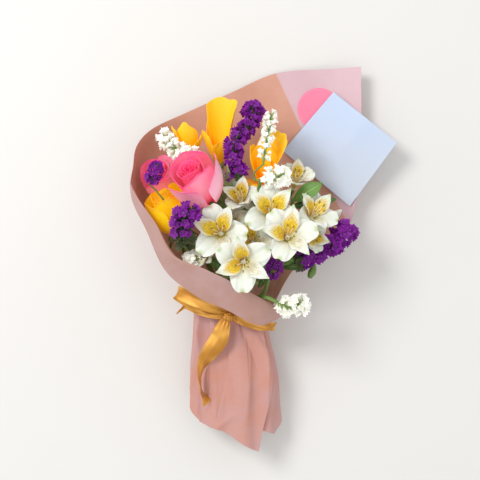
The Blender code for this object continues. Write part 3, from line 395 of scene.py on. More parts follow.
class Value:
    """A number or colour that varies over a surface. Sums and products of values add their own nodes."""

    def __init__(self, finish, socket):
        self.finish, self.socket = finish, socket

    def joined(self, operation, first, second):
        return self.finish.node("ShaderNodeMath", {"operation": operation}, {0: first, 1: second})

    def __add__(self, other):
        return self.joined("ADD", self, other)

    def __sub__(self, other):
        return self.joined("SUBTRACT", self, other)

    def __rsub__(self, other):
        return self.joined("SUBTRACT", other, self)

    def __mul__(self, other):
        return self.joined("MULTIPLY", self, other)

    def __truediv__(self, other):
        return self.joined("DIVIDE", self, other)

    def __rtruediv__(self, other):
        return self.joined("DIVIDE", other, self)

    def __pow__(self, other):
        return self.joined("POWER", self, other)

    __radd__ = __add__
    __rmul__ = __mul__


class Finish:
    """One material and its nodes."""

    def __init__(self, name, roughness=0.6, **constants):
        self.material = bpy.data.materials.new(name)
        self.material.use_nodes = True
        self.tree = self.material.node_tree
        self.shader = self.tree.nodes["Principled BSDF"]
        self.set("Roughness", roughness)
        for key, value in constants.items():
            self.set(key.replace("_", " "), value)

    def node(self, kind, settings=None, sockets=None, output=0):
        made = self.tree.nodes.new(kind)
        for key, value in (settings or {}).items():
            if key == "stops":
                self.fill(made.color_ramp, value)
            else:
                setattr(made, key, value)
        for key, value in (sockets or {}).items():
            self.connect(made.inputs[key], value)
        return Value(self, made.outputs[output])

    def fill(self, ramp, stops):
        while len(ramp.elements) < len(stops):
            ramp.elements.new(1.0)
        for element, (place, colour) in zip(ramp.elements, stops):
            element.position = place
            element.color = colour if hasattr(colour, "__len__") else (colour, colour, colour, 1.0)

    def connect(self, socket, value):
        if isinstance(value, Value):
            self.tree.links.new(value.socket, socket)
        else:
            socket.default_value = value

    def set(self, name, value):
        self.connect(self.shader.inputs[name], value)

    def ramp(self, value, *stops):
        return self.node("ShaderNodeValToRGB", {"stops": stops}, {0: value})

    def mix(self, factor, first, second, blend="MIX"):
        settings = {"data_type": "RGBA", "blend_type": blend}
        return self.node("ShaderNodeMix", settings, {0: factor, 6: first, 7: second}, 2)

    def place(self):
        return self.node("ShaderNodeTexCoord", output=3)

    def spread(self):
        """The piece's own coordinates: across it and along it, each from 0 to 1."""
        split = self.node("ShaderNodeSeparateXYZ", sockets={0: self.node("ShaderNodeTexCoord", output=2)})
        return split, Value(self, split.socket.node.outputs[1])

    def read(self, name):
        return self.node("ShaderNodeAttribute", {"attribute_name": name}, output=2)

    def vector(self, x, y, z=0.0):
        return self.node("ShaderNodeCombineXYZ", sockets={0: x, 1: y, 2: z})

    def noise(self, scale, detail=2.0, roughness=0.5, vector=None):
        vector = self.place() if vector is None else vector
        sockets = {"Vector": vector, "Scale": scale, "Detail": detail, "Roughness": roughness}
        return self.node("ShaderNodeTexNoise", {"noise_dimensions": "3D"}, sockets)

    def wave(self, vector, scale, distortion=0.0):
        sockets = {"Vector": vector, "Scale": scale, "Distortion": distortion, "Detail": 2.0}
        return self.node("ShaderNodeTexWave", {"wave_type": "BANDS"}, sockets, 1)

    def clamp(self, value, low, high, start=0.0, end=1.0):
        sockets = {0: value, 1: low, 2: high, 3: start, 4: end}
        return self.node("ShaderNodeMapRange", {"interpolation_type": "SMOOTHSTEP"}, sockets)

    def bump(self, height, strength, distance):
        sockets = {"Height": height, "Strength": strength, "Distance": distance}
        self.set("Normal", self.node("ShaderNodeBump", sockets=sockets))


def paper_finish():
    """Matt wrapping paper: its lining painted peach as shade left of the crease and lilac as light on the right wing
    past it, mauve where it is turned down, with a faint painted glow.
    """
    # Emission_Strength gives the paper a painted glow that lifts its shaded inside.
    f = Finish("wrapping_paper", 0.62, Sheen_Weight=0.06, Sheen_Roughness=0.6, Emission_Strength=0.07)
    u, v = f.spread()
    split = f.node("ShaderNodeSeparateXYZ", sockets={0: f.place()})
    x, y = split, Value(f, split.socket.node.outputs[1])
    inside = f.read("side")
    # Painted light and shade: the lining is peach where it lies in shade left of the crease, and lilac on the right
    # wing past the crease, which catches the light.
    lit_wing_past_crease = f.clamp(x + y * 0.464, 0.1185, 0.1215)
    turned = f.clamp(u, 0.44, 0.56) * f.clamp(v, 0.80, 0.86)
    mottle = f.clamp(f.noise(14.0, 4.0, 0.6), 0.3, 0.7)
    peach_painted_shade = f.mix(mottle, srgb(190, 134, 112), srgb(202, 150, 130))
    lilac_painted_light = f.mix(mottle, srgb(196, 162, 172), srgb(204, 172, 182))
    mauve = f.mix(mottle, srgb(164, 122, 108), srgb(176, 140, 138))
    outer = f.mix(mottle, srgb(188, 128, 110), srgb(184, 140, 138))
    lining = f.mix(turned, f.mix(lit_wing_past_crease, peach_painted_shade, lilac_painted_light), mauve)
    fibre = f.noise(700.0, 3.0, 0.7)
    colour = f.mix(inside, outer, lining)
    colour = f.mix(fibre * 0.08, colour, srgb(240, 214, 204))
    f.set("Base Color", colour)
    # The emission in the paper's own colour is painted light that lifts the shade.
    f.set("Emission Color", colour)
    f.set("Roughness", 0.56 + fibre * 0.12)
    f.bump(fibre * 0.25 + f.noise(95.0, 4.0, 0.6), 0.35, 0.0006)
    return f.material


def petal_finish(name, outer, inner, vein, roughness=0.5, painted_glow=0.14):
    """Soft petals: a ramp of colours from base to rim, for the outer petals and for the heart, with a painted glow in
    the same colours.
    """
    f = Finish(name, roughness, Sheen_Weight=0.04, Sheen_Roughness=0.45, Subsurface_Weight=0.2,
               Subsurface_Scale=0.004, Emission_Strength=painted_glow)
    u, v = f.spread()
    heart = f.read("tone")
    drift = f.noise(60.0, 3.0, 0.6)
    place = v + (drift - 0.5) * 0.16
    colour = f.mix(heart, f.ramp(place, *outer), f.ramp(place, *inner))
    lines = f.wave(f.vector(u * 1.0, v * 0.12), 13.0, 1.6)
    shown = f.clamp(lines, 0.55, 1.0) * 0.22
    colour = f.mix(shown, colour, vein)
    f.set("Base Color", colour)
    # Emission in the petal colour is a painted glow that brightens the shaded parts of the petals.
    f.set("Emission Color", colour)
    f.set("Roughness", 0.42 + drift * 0.22)
    f.bump(lines * 0.5 + f.noise(420.0, 2.0, 0.6, f.place()) * 0.5, 0.4, 0.0004)
    return f.material


def lily_finish():
    """White tepals with green tips, yellow at the foot and darkened to olive deep in the throat as painted shade. The
    inner ones have a yellow blotch and brown dashes, and all carry a faint painted glow.
    """
    # Emission_Strength is a faint painted glow in the tepal colour.
    f = Finish("alstroemeria_tepals", 0.45, Sheen_Weight=0.2, Sheen_Roughness=0.4, Subsurface_Weight=0.15,
               Subsurface_Scale=0.004, Emission_Strength=0.03)
    u, v = f.spread()
    inner = f.read("tone")
    drift = f.noise(70.0, 3.0, 0.6)
    middle = 1.0 - f.node("ShaderNodeMath", {"operation": "ABSOLUTE"}, {0: u * 2.0 - 1.0})
    # The foot of each tepal is yellow-green. Its darkest olive, deep in the throat, is painted shade.
    white = f.ramp(v + drift * 0.12, (0.0, srgb(120, 108, 0)), (0.22, srgb(206, 176, 20)),
                   (0.38, srgb(226, 214, 120)), (0.54, srgb(228, 229, 214)), (1.0, srgb(230, 231, 224)))
    tip = f.clamp(v, 0.90, 1.0) * f.clamp(middle, 0.72, 0.95)
    white = f.mix(tip * 0.7, white, srgb(160, 186, 92))
    reach = v + drift * 0.22 - (1.0 - middle) * 0.08
    blotch = f.clamp(reach, -0.1, 0.10) * (1.0 - f.clamp(reach, 0.80, 1.04))
    blotch = blotch * f.clamp(middle, -0.1, 0.16) * f.clamp(inner, 0.3, 0.8)
    yellow = f.mix(f.clamp(reach, 0.2, 0.85), srgb(226, 160, 0), srgb(250, 210, 30))
    flecks = f.wave(f.vector(u + f.noise(30.0) * 0.05, 0.0), 4.4, 0.0)
    broken = f.noise(1.0, 1.0, 0.4, f.vector(u * 11.0, v * 11.0, inner * 9.0))
    dashes = f.clamp(flecks, 0.66, 0.94) * f.clamp(broken, 0.42, 0.50)
    dashes = dashes * f.clamp(v, 0.44, 0.52) * (1.0 - f.clamp(v, 0.80, 0.92)) * f.clamp(inner, 0.2, 0.5)
    dashes = dashes * f.clamp(middle, 0.08, 0.30)
    colour = f.mix(dashes * 0.85, f.mix(blotch, white, yellow), srgb(120, 54, 4))
    lines = f.wave(f.vector(u, v * 0.1), 12.0, 1.2)
    colour = f.mix(f.clamp(lines, 0.5, 1.0) * 0.16, colour, srgb(186, 200, 140))
    f.set("Base Color", colour)
    # The emission in the tepal colour is painted light that lifts their shade.
    f.set("Emission Color", colour)
    f.set("Roughness", 0.38 + drift * 0.2)
    f.bump(lines * 0.6 + f.noise(500.0, 2.0, 0.6) * 0.4, 0.35, 0.0003)
    return f.material


def papery_finish(name, base, middle, rim, eye, painted_glow=0.04):
    """Papery florets: a green foot, a ribbed cup and a paler eye, with a painted glow in their colour."""
    f = Finish(name, 0.65, Sheen_Weight=0.04, Sheen_Roughness=0.5, Emission_Strength=painted_glow)
    u, v = f.spread()
    tone = f.read("tone")
    drift = f.noise(160.0, 2.0, 0.6)
    colour = f.ramp(v, (0.0, base), (0.22, base), (0.42, middle), (0.72, rim), (0.80, rim), (0.93, middle), (1.0, eye))
    shade = f.mix(tone * 0.45 + drift * 0.2, colour, middle, "MIX")
    ribs = f.wave(f.vector(u, 0.0), 10.0, 0.4)
    colour = f.mix(f.clamp(ribs, 0.5, 1.0) * 0.18, shade, middle)
    f.set("Base Color", colour)
    # Emission in the floret colour is a painted glow that lifts their shade.
    f.set("Emission Color", colour)
    f.set("Roughness", 0.55 + drift * 0.25)
    f.bump(ribs * 0.5 + drift * 0.5, 0.5, 0.0004)
    return f.material


def leaf_finish(name, dark, light, vein, gloss=0.42):
    """Leaves: a pale midrib, side veins that run to the edge, and a waxy face."""
    f = Finish(name, gloss, Sheen_Weight=0.05, Coat_Weight=0.08, Coat_Roughness=0.35)
    u, v = f.spread()
    tone = f.read("tone")
    away = f.node("ShaderNodeMath", {"operation": "ABSOLUTE"}, {0: u * 2.0 - 1.0})
    drift = f.noise(90.0, 4.0, 0.6)
    blade = f.mix(f.clamp(drift + tone * 0.4, 0.3, 0.9), dark, light)
    rib = 1.0 - f.clamp(away, 0.02, 0.10)
    sides = f.wave(f.vector(v * 1.0 - away * 0.22, 0.0), 22.0, 0.5)
    shown = f.clamp(sides, 0.78, 1.0) * 0.45 * (1.0 - away * 0.6)
    blade = f.mix(shown, blade, vein)
    f.set("Base Color", f.mix(rib * 0.75, blade, vein))
    f.set("Roughness", gloss - 0.06 + drift * 0.2)
    f.bump(sides * 0.35 - rib * 0.6 + f.noise(600.0, 2.0, 0.6) * 0.15, 0.45, 0.0005)
    return f.material


def stem_finish():
    """Green stems, finely ridged along their length."""
    f = Finish("green_stems", 0.5, Coat_Weight=0.05)
    u, v = f.spread()
    drift = f.noise(40.0, 4.0, 0.6)
    ridges = f.wave(f.vector(u, v * 0.05), 7.0, 0.6)
    green = f.mix(drift, srgb(78, 116, 44), srgb(122, 158, 78))
    f.set("Base Color", f.mix(f.clamp(ridges, 0.4, 1.0) * 0.25, green, srgb(150, 178, 104)))
    f.set("Roughness", 0.42 + drift * 0.2)
    f.bump(ridges * 0.6 + f.noise(500.0) * 0.4, 0.4, 0.0004)
    return f.material


def satin_finish():
    """Gold satin ribbon: fine threads that run along it, and long soft bands of painted sheen and painted shade in its
    colour that also set its gloss.
    """
    f = Finish("gold_satin", 0.30, Metallic=0.35, Sheen_Weight=0.3, Sheen_Roughness=0.3, Anisotropic=0.55)
    u, v = f.spread()
    threads = f.wave(f.vector(u, 0.0), 46.0, 0.3)
    picks = f.wave(f.vector(0.0, v, 0.0), 5.0, 0.2)
    # Dark and light gold bands along the ribbon are painted sheen and painted fold shade, standing in for the satin's
    # reflections.
    drift = f.noise(1.0, 1.0, 0.4, f.vector(u * 0.9, v * 5.0))
    painted_sheen_gold = f.mix(f.clamp(drift, 0.34, 0.66), srgb(178, 114, 14), srgb(238, 176, 76))
    f.set("Base Color", f.mix(f.clamp(threads, 0.3, 1.0) * 0.22, painted_sheen_gold, srgb(240, 186, 100)))
    f.set("Roughness", 0.28 + drift * 0.16)
    f.bump(threads * 0.7 + picks * 0.0 + f.noise(240.0) * 0.3, 0.3, 0.0003)
    return f.material


def card_finish():
    """Smooth pale blue card with a fine tooth."""
    f = Finish("message_card", 0.55, Coat_Weight=0.05)
    u, v = f.spread()
    tooth = f.noise(900.0, 3.0, 0.7)
    wash = f.clamp(u * 0.5 + v * 0.5 + f.noise(14.0) * 0.2, 0.2, 0.95)
    colour = f.mix(wash, srgb(178, 197, 226), srgb(190, 200, 216))
    f.set("Base Color", f.mix(tooth * 0.12, colour, srgb(206, 220, 240)))
    f.set("Roughness", 0.5 + tooth * 0.12)
    f.bump(tooth, 0.15, 0.0003)
    return f.material


def label_finish():
    """A smooth pink label with a faint paler rim."""
    f = Finish("round_label", 0.4, Coat_Weight=0.15, Coat_Roughness=0.3)
    u, v = f.spread()
    tooth = f.noise(800.0, 2.0, 0.6)
    rim = f.clamp(v, 0.90, 0.92) * (1.0 - f.clamp(v, 0.93, 0.95))
    colour = f.mix(tooth * 0.2, srgb(244, 118, 154), srgb(250, 142, 172))
    f.set("Base Color", f.mix(rim * 0.15, colour, srgb(255, 190, 208)))
    f.set("Roughness", 0.36 + tooth * 0.1)
    f.bump(tooth * 0.4 + rim, 0.2, 0.0003)
    return f.material


def twine_finish():
    """Natural twine, its strands laid over each other."""
    f = Finish("twine", 0.85, Sheen_Weight=0.2)
    u, v = f.spread()
    strands = f.wave(f.vector(u * 1.0 + v * 60.0, 0.0), 1.6, 0.3)
    hair = f.noise(900.0, 3.0, 0.7)
    f.set("Base Color", f.mix(strands * 0.7 + hair * 0.3, srgb(120, 92, 56), srgb(206, 176, 128)))
    f.set("Roughness", 0.75 + hair * 0.2)
    f.bump(strands + hair * 0.3, 0.8, 0.0008)
    return f.material


def plain_finish(name, dark, light, roughness, scale=200.0):
    f = Finish(name, roughness)
    drift = f.noise(scale, 3.0, 0.6)
    f.set("Base Color", f.mix(drift, dark, light))
    f.set("Roughness", roughness - 0.08 + drift * 0.16)
    f.bump(drift, 0.3, 0.0003)
    return f.material


PAPER = paper_finish()
PINK = petal_finish(
    "pink_rose_petals",
    [(0.0, srgb(255, 70, 100)), (0.28, srgb(255, 110, 146)), (0.6, srgb(255, 196, 216)), (0.88, srgb(255, 178, 206)),
     (1.0, srgb(255, 96, 156))],
    [(0.0, srgb(210, 0, 50)), (0.6, srgb(238, 0, 70)), (0.88, srgb(252, 16, 96)), (1.0, srgb(255, 84, 150))],
    srgb(250, 90, 144), painted_glow=0.10)
GOLDEN = petal_finish(
    "yellow_rose_petals",
    [(0.0, srgb(240, 170, 0)), (0.4, srgb(255, 204, 0)), (0.8, srgb(255, 214, 10)), (1.0, srgb(255, 200, 30))],
    [(0.0, srgb(250, 176, 0)), (0.5, srgb(255, 204, 0)), (0.9, srgb(255, 218, 14)), (1.0, srgb(255, 190, 50))],
    srgb(226, 140, 8))
IRIS = petal_finish(
    "iris_petals",
    [(0.0, srgb(230, 168, 0)), (0.2, srgb(250, 178, 0)), (0.6, srgb(255, 192, 0)), (1.0, srgb(255, 202, 40))],
    [(0.0, srgb(230, 150, 0)), (0.3, srgb(250, 140, 0)), (0.6, srgb(255, 182, 0)), (1.0, srgb(255, 200, 20))],
    srgb(240, 176, 0), 0.55)
LILY = lily_finish()
PURPLE = papery_finish("purple_statice", srgb(60, 70, 40), srgb(96, 0, 116), srgb(142, 0, 164), srgb(184, 120, 200))
# Green cups at the foot of the purple spikes, darkened as painted shade where the spikes lie in shadow.
SHADED_CALYX = papery_finish("statice_calyxes_painted_shade", srgb(50, 60, 30), srgb(62, 72, 38), srgb(76, 84, 44), srgb(110, 60, 110))
# The last number is the painted glow of the white florets, the strongest of the statice.
CREAM = papery_finish("white_statice", srgb(150, 172, 100), srgb(244, 246, 232), srgb(255, 255, 250), srgb(240, 232, 180), 0.10)
LEAF = leaf_finish("broad_leaves", srgb(52, 84, 30), srgb(96, 142, 58), srgb(156, 186, 104))
PALE_LEAF = leaf_finish("pale_leaves", srgb(104, 138, 66), srgb(168, 190, 120), srgb(206, 216, 160), 0.5)
STEM = stem_finish()
SATIN = satin_finish()
CARD = card_finish()
LABEL = label_finish()
TWINE = twine_finish()
FILAMENT = plain_finish("filaments", srgb(226, 228, 196), srgb(248, 246, 226), 0.5)
ANTHER = plain_finish("anthers", srgb(126, 104, 44), srgb(176, 150, 70), 0.8, 900.0)


# ---- The paper ----

def oval(half_width, half_depth, centre, degrees, swell):
    turn = math.radians(degrees)
    across, deep = half_width * (1 + swell) * math.cos(turn), half_depth * (1 + swell) * math.sin(turn)
    return np.array(centre) + (across, 0, -deep)


def rib_points(index):
    """The eight places of one rib of the sheet, from the hem to the edge."""
    at_neck, in_skirt, hem_y, belly, *upper = RIBS[index]
    swell = SPIRAL * index / (len(RIBS) - 1)
    hem = oval(*HEM_SKIRT, in_skirt, swell)
    hem[1] = hem_y
    mid = oval(*MID_SKIRT, 0.45 * at_neck + 0.55 * in_skirt, swell)
    neck = oval(*NECK_HALF, NECK_CENTRE, at_neck, swell)
    neck[1] -= NECK_SLANT * (neck[0] - NECK_CENTRE[0])
    above = neck + (np.array(belly) - neck) * 0.36
    return [hem, mid, neck, above, belly, *upper]


def paper_surface(across, levels):
    """The middle of the sheet before its creases: one row for each level, one column for each place across."""
    net = np.array([rib_points(i) for i in range(len(RIBS))], float)
    t = across * (len(RIBS) - 1)
    sheet = smooth(np.moveaxis(smooth(net, t), 1, 0), levels)
    turn = smooth([rib[:2] for rib in RIBS], t)
    share = np.clip(levels / 2, 0, 1)[:, None]
    angle = np.radians(turn[:, 0] * share + turn[:, 1] * (1 - share))
    depth = np.interp(levels, (0, 1, 2, 3), PLEAT_DEPTH)[:, None]
    middle = np.where((levels > 1.5)[:, None], NECK_CENTRE, np.array(MID_SKIRT[2]))[:, None, :]
    outward = sheet - middle
    outward[..., 1] = 0
    sheet = sheet + unit(outward) * (depth * np.cos(angle * PLEATS))[..., None]
    sheet[..., 2] = np.maximum(sheet[..., 2], 0.4)
    return sheet, angle


def fold(x):
    """A sharp fold and a soft hollow, again and again: 1 on the fold and -1 in the hollow."""
    return 1 - 2 * np.abs(np.sin(x / 2)) ** 0.8


# Folds on the front of the skirt: start and end in X and Y, half width, and height outwards.
FRONT_FOLDS = [
    ((-30, -68), (-4, -146), 5, -5.0),
    ((-40, -70), (-52, -170), 6, -3.5),
    ((-20, -72), (22, -134), 5, -3.5),
    ((4, -92), (3, -242), 4.5, 4.0),
    ((-70, -68), (-78, -120), 4, -3.0),
    ((-14, -78), (-22, -200), 5, 2.5),
    ((-62, -208), (-28, -183), 4, 2.8),
    ((-60, -74), (-68, -150), 4, 2.5),
    ((-84, -70), (-76, -140), 4, 2.2),
]


def creased(sheet, angle, across, levels):
    """Gathers the paper at the neck into fine folds that run out up and down, and crumples it lightly."""
    down, over = np.gradient(sheet, axis=0), np.gradient(sheet, axis=1)
    normal = unit(np.cross(over, down))
    drift = levels[:, None] - 2
    reach = np.interp(levels, (0, 0.8, 1.6, 2, 2.4, 3.2, 4.5, 7), (0.8, 1.8, 2.6, 1.7, 1.9, 0.9, 0.3, 0.1))
    folds = fold(angle * 7 + drift * 1.3) * 0.55 + fold(angle * 13 - drift * 2.1 + 1.7) * 0.45
    lift = reach[:, None] * folds
    rng = np.random.default_rng(SEED)
    for scale, size in ((3, 1.3), (7, 0.7), (15, 0.28)):
        rough = rng.normal(size=(scale + 3, 2 * scale + 3))
        rows = smooth(rough, levels / 7 * scale + 1)
        share = np.interp(levels, (1, 3, 6, 7), (0.5, 1, 1, 0.5))[:, None]
        lift = lift + smooth(rows.T, across * 2 * scale + 1).T * size * share
    for _ in range(70):
        level, place, lean = rng.uniform(0.1, 3.4), rng.uniform(0, 1), rng.normal() * 0.35
        long, wide, high = rng.uniform(0.3, 0.9), rng.uniform(0.004, 0.012), rng.normal() * 1.1
        past = (levels[:, None] - level) / long
        off = (across[None, :] - place - lean * 0.06 * past) / wide
        lift = lift + high * np.exp(-np.abs(off)) * np.clip(1 - past**2, 0, 1)
    front = np.clip((sheet[..., 2] - 38) / 14, 0, 1) * np.clip((2.3 - levels[:, None]) / 0.3, 0, 1)
    for start, end, wide, high in FRONT_FOLDS:
        start, run = np.array(start, float), np.array(end, float) - start
        past = ((sheet[..., :2] - start) @ run) / (run @ run)
        off = (sheet[..., 0] - start[0]) * run[1] - (sheet[..., 1] - start[1]) * run[0]
        off = np.abs(off) / np.linalg.norm(run) / wide
        lift = lift + front * high * np.exp(-off) * np.clip(past / 0.12, 0, 1) * np.clip((1 - past) / 0.35, 0, 1)
    flat = np.clip(sheet[..., 2] / 6, 0, 1)
    return sheet + normal * (lift * flat)[..., None]


def make_paper():
    levels = np.concatenate((np.linspace(0, 1.6, 46), np.linspace(1.62, 2.6, 34), np.linspace(2.65, 7, 78)))
    across = np.linspace(0, 1, 281)
    sheet, angle = paper_surface(across, levels)
    sheet = creased(sheet, angle, across, levels)
    sheet[..., 2] = np.maximum(sheet[..., 2], 0.3)
    body = Body()
    v, u = np.meshgrid(levels / 7, across, indexing="ij")
    shell(body, sheet, 0.45, PAPER, spread=np.stack((u, v), -1))
    dress(body, "wrapping_paper", "wrapper_paper")
    return sheet


# ---- Stems, petals and leaves ----

def stem_path(name, end, heading):
    """From the cut end of a stem through its place in the tie to the base of its head."""
    across, up, cut_y, reach, push, pull = STEMS[name]
    across, up = across * STEM_PITCH, up * ROW_PITCH
    at_tie = TIE + (across, 0, up)
    cut = np.array((TIE[0] + across * CUT_SPREAD, cut_y, CUT_Z + up * CUT_SPREAD))
    start = at_tie + (0, 10, 0)
    last, heading = np.array(end, float), unit(heading)
    end = last - heading * 3
    far = np.linalg.norm(end - start)
    leave = start + (0, far * reach, 0) + np.array(push)
    arrive = end - heading * far * reach + np.array(pull)
    curve = bend([start, leave, arrive, end], np.linspace(0, 1, 6))
    return np.concatenate(([cut, at_tie - (0, 12, 0)], curve, [last]))


def stem(body, path, top=2.2):
    count = len(path)
    taper = [TIE_RADIUS + (top - TIE_RADIUS) * (i + 1) / (count - 3) for i in range(count - 3)]
    t = np.linspace(0, count - 1, 44)
    radii = smooth([TIE_RADIUS * 0.95, TIE_RADIUS, TIE_RADIUS] + taper, t)
    tube(body, smooth(path, t), radii, 14, STEM)


def petal(placed, turn, profile, width, wrap=0.0, cup=0.0, rounding=0.2, rows=16, columns=14,
          ruffle=0.0, waves=2.5, roll=0.0, notch=0.0, seed=0):
    """One petal as a grid of places, from the axis of the head outwards.

    profile holds four points (radius, height) that its middle follows, width its half widths from base
    to tip. wrap bends it round the axis, cup lifts its sides, rounding draws in the corners of the tip,
    ruffle waves the edge, roll turns the rim outwards, and notch dips or points the middle of the tip.
    """
    draw = random.Random(seed)
    phase, second = draw.uniform(0, 6), draw.uniform(0, 6)
    s, c = np.meshgrid(np.linspace(0, 1, rows + 1), np.linspace(-1, 1, columns + 1), indexing="ij")
    t = s * (1 - rounding * np.abs(c) ** 2.4 - notch * np.exp(-((c / 0.2) ** 2)))
    middle = bend(profile, t)
    ahead = bend(profile, np.minimum(t + 0.02, 1.02)) - bend(profile, t - 0.02)
    inward = unit(np.stack((-ahead[..., 1], ahead[..., 0]), -1))
    half = np.maximum(smooth(width, t * (len(width) - 1)), 0.4)
    radius, height = middle[..., 0], middle[..., 1]
    side = half * c
    if wrap:
        round_axis = np.maximum(radius, 2.0) / wrap
        arc = side / round_axis
        radius = radius + round_axis * (np.cos(arc) - 1)
        side = round_axis * np.sin(arc)
    edge = np.cos(waves * math.pi * c + phase) + 0.5 * np.cos(2.3 * waves * math.pi * c + second)
    lift = cup * half * c**2 + ruffle * s**2.5 * edge * (0.35 + 0.65 * np.abs(c))
    radius = radius + inward[..., 0] * lift
    height = height + inward[..., 1] * lift
    past = np.clip((t - 0.72) / 0.28, 0, 1)
    rolled = roll * past**2 * (0.55 + 0.75 * c**2)
    radius, height = radius + rolled, height - rolled * past * 0.9
    angle = math.radians(turn)
    x = radius * math.cos(angle) - side * math.sin(angle)
    y = radius * math.sin(angle) + side * math.cos(angle)
    return put(placed, np.stack((x, y, height), -1))


def stalk(body, placed, heights, radii, finish, sides=20, star=0.0, lobes=None, tone=0.0):
    """A round body along the axis of a head."""
    t = np.linspace(0, len(heights) - 1, 6 * len(heights))
    size = np.linalg.norm(placed[:3, 0])
    path = put(placed, np.stack((t * 0, t * 0, smooth(heights, t)), -1))
    tube(body, path, smooth(radii, t) * size, sides, finish, star, lobes, tone)


def strip(path, across, widths, rise=0.0, rows=40, columns=8, ruffle=0.0, waves=3.0):
    """A leaf or a length of ribbon along the path; across gives its direction sideways."""
    s, c = np.meshgrid(np.linspace(0, 1, rows + 1), np.linspace(-1, 1, columns + 1), indexing="ij")
    last = len(path) - 1
    middle = smooth(path, s * last)
    ahead = unit(smooth(path, np.minimum(s + 0.02, 1) * last) - smooth(path, np.maximum(s - 0.02, 0) * last))
    across = unit(across)
    side = smooth(across, s * (len(across) - 1)) if len(across) > 1 else np.broadcast_to(across[0], middle.shape)
    side = unit(side - ahead * (side * ahead).sum(-1, keepdims=True))
    normal = unit(np.cross(side, ahead))
    half = np.maximum(smooth(widths, s * (len(widths) - 1)), 0.35)
    lift = rise * half * np.abs(c) ** 1.5 + ruffle * np.cos(waves * math.pi * c + 5 * s)
    return middle + side * (half * c)[..., None] + normal * lift[..., None]


def leaf(body, path, at, tip, half, across, lift=6.0, finish=None, tone=0.3):
    """A leaf that leaves the stem at a place along its path and ends in a point."""
    root, tip = smooth(path, np.array([at]))[0], np.array(tip, float)
    middle = (root + tip) / 2 + (0, 0, lift)
    points = [root, root + (middle - root) * 0.5, middle, middle + (tip - middle) * 0.55, tip]
    widths = [1.0, half * 0.72, half, half * 0.72, 0.35]
    grid = strip(points, [across], widths, rise=0.22, rows=34, columns=12, ruffle=half * 0.03)
    shell(body, grid, 0.5, finish or LEAF, tone)


FULLER = {"rose_yellow": (1.12, (2, 2, 5)), "rose_pink_back": (1.08, (0, 0, 0)), "rose_pink_front": (1.08, (3, 0, 0))}


LEANING = {"rose_yellow": (0.02, 0.10, -0.12)}


def make_rose(name, finish):
    base, facing, turned, size, open_wide = ROSES[name]
    fuller, shift = FULLER[name]
    facing = np.array(facing) + LEANING.get(name, (0, 0, 0))
    placed = stand(np.array(base) + shift, facing, turned, size * fuller)
    bloom = Body()
    for k in range(12):
        cup = 1.5 + 0.72 * k
        rim = 47.5 - 0.0 * k + 1.2 * math.sin(k * 2.1)
        half = 5.0 + 0.95 * k
        lean = cup + (0.4 + 0.16 * k) * (0.5 + open_wide)
        profile = [(1.4, 6), (cup * 1.35, 14), (cup * 1.05, rim * 0.76), (lean, rim)]
        grid = petal(placed, 137.5 * k + 20, profile, [3, half * 0.8, half, half * 0.75], wrap=1.0, rounding=0.10,
                     roll=0.5 + 0.16 * k, ruffle=0.25, seed=k)
        shell(bloom, grid, 0.4, finish, tone=1 - k / 26)
    for k, (turn, cup, rim, half, opening, wrap) in enumerate(ROSE_PETALS[2:]):
        tip = cup + opening * open_wide * 0.35
        profile = [(2.5, 1.5), (cup * 1.45, 6), (cup * 1.12, rim * 0.72), (tip, rim)]
        grid = petal(placed, turn, profile, [4, half * 0.95, half * 1.2, half * 0.95], wrap=wrap, rounding=0.16, rows=24,
                     columns=24, roll=1.4 + opening * 0.16, ruffle=0.5, waves=1.7, notch=-0.035, seed=k + 40)
        shell(bloom, grid, 0.45, finish, tone=(0.7, 0.6, 0.6, 0.18, 0.45, 0.30, 0.0)[k])
    stalk(bloom, placed, (0, 4, 10, 30), (4.6, 9.5, 9.0, 3.5), finish, tone=0.8)
    dress(bloom, f"{name}_bloom", f"{name}_petals")

    green = Body()
    stalk(green, placed, (-15, -9, -3, -0.5), (2.6, 4.6, 6.2, 4.6), LEAF, tone=0.5)
    for k in range(5):
        grid = petal(placed, 72 * k + 20, [(3, -4), (9, -1), (15, -6), (19, -14)], [2.5, 3, 2, 0.5], rounding=0.0,
                     rows=14, columns=6, cup=0.12, ruffle=0.3, seed=k)
        shell(green, grid, 0.5, LEAF, tone=0.4)
    path = stem_path(name, put(placed, (0, 0, -12)), facing)
    stem(green, path, 2.6)
    for spec in EXTRA_LEAVES.get(name, ()):
        leaf(green, path, *spec)
    dress(green, f"{name}_green", f"{name}_stem")


IRIS_FULLNESS = {"iris_1": 1.15, "iris_2": 1.2, "iris_3": 1.42}


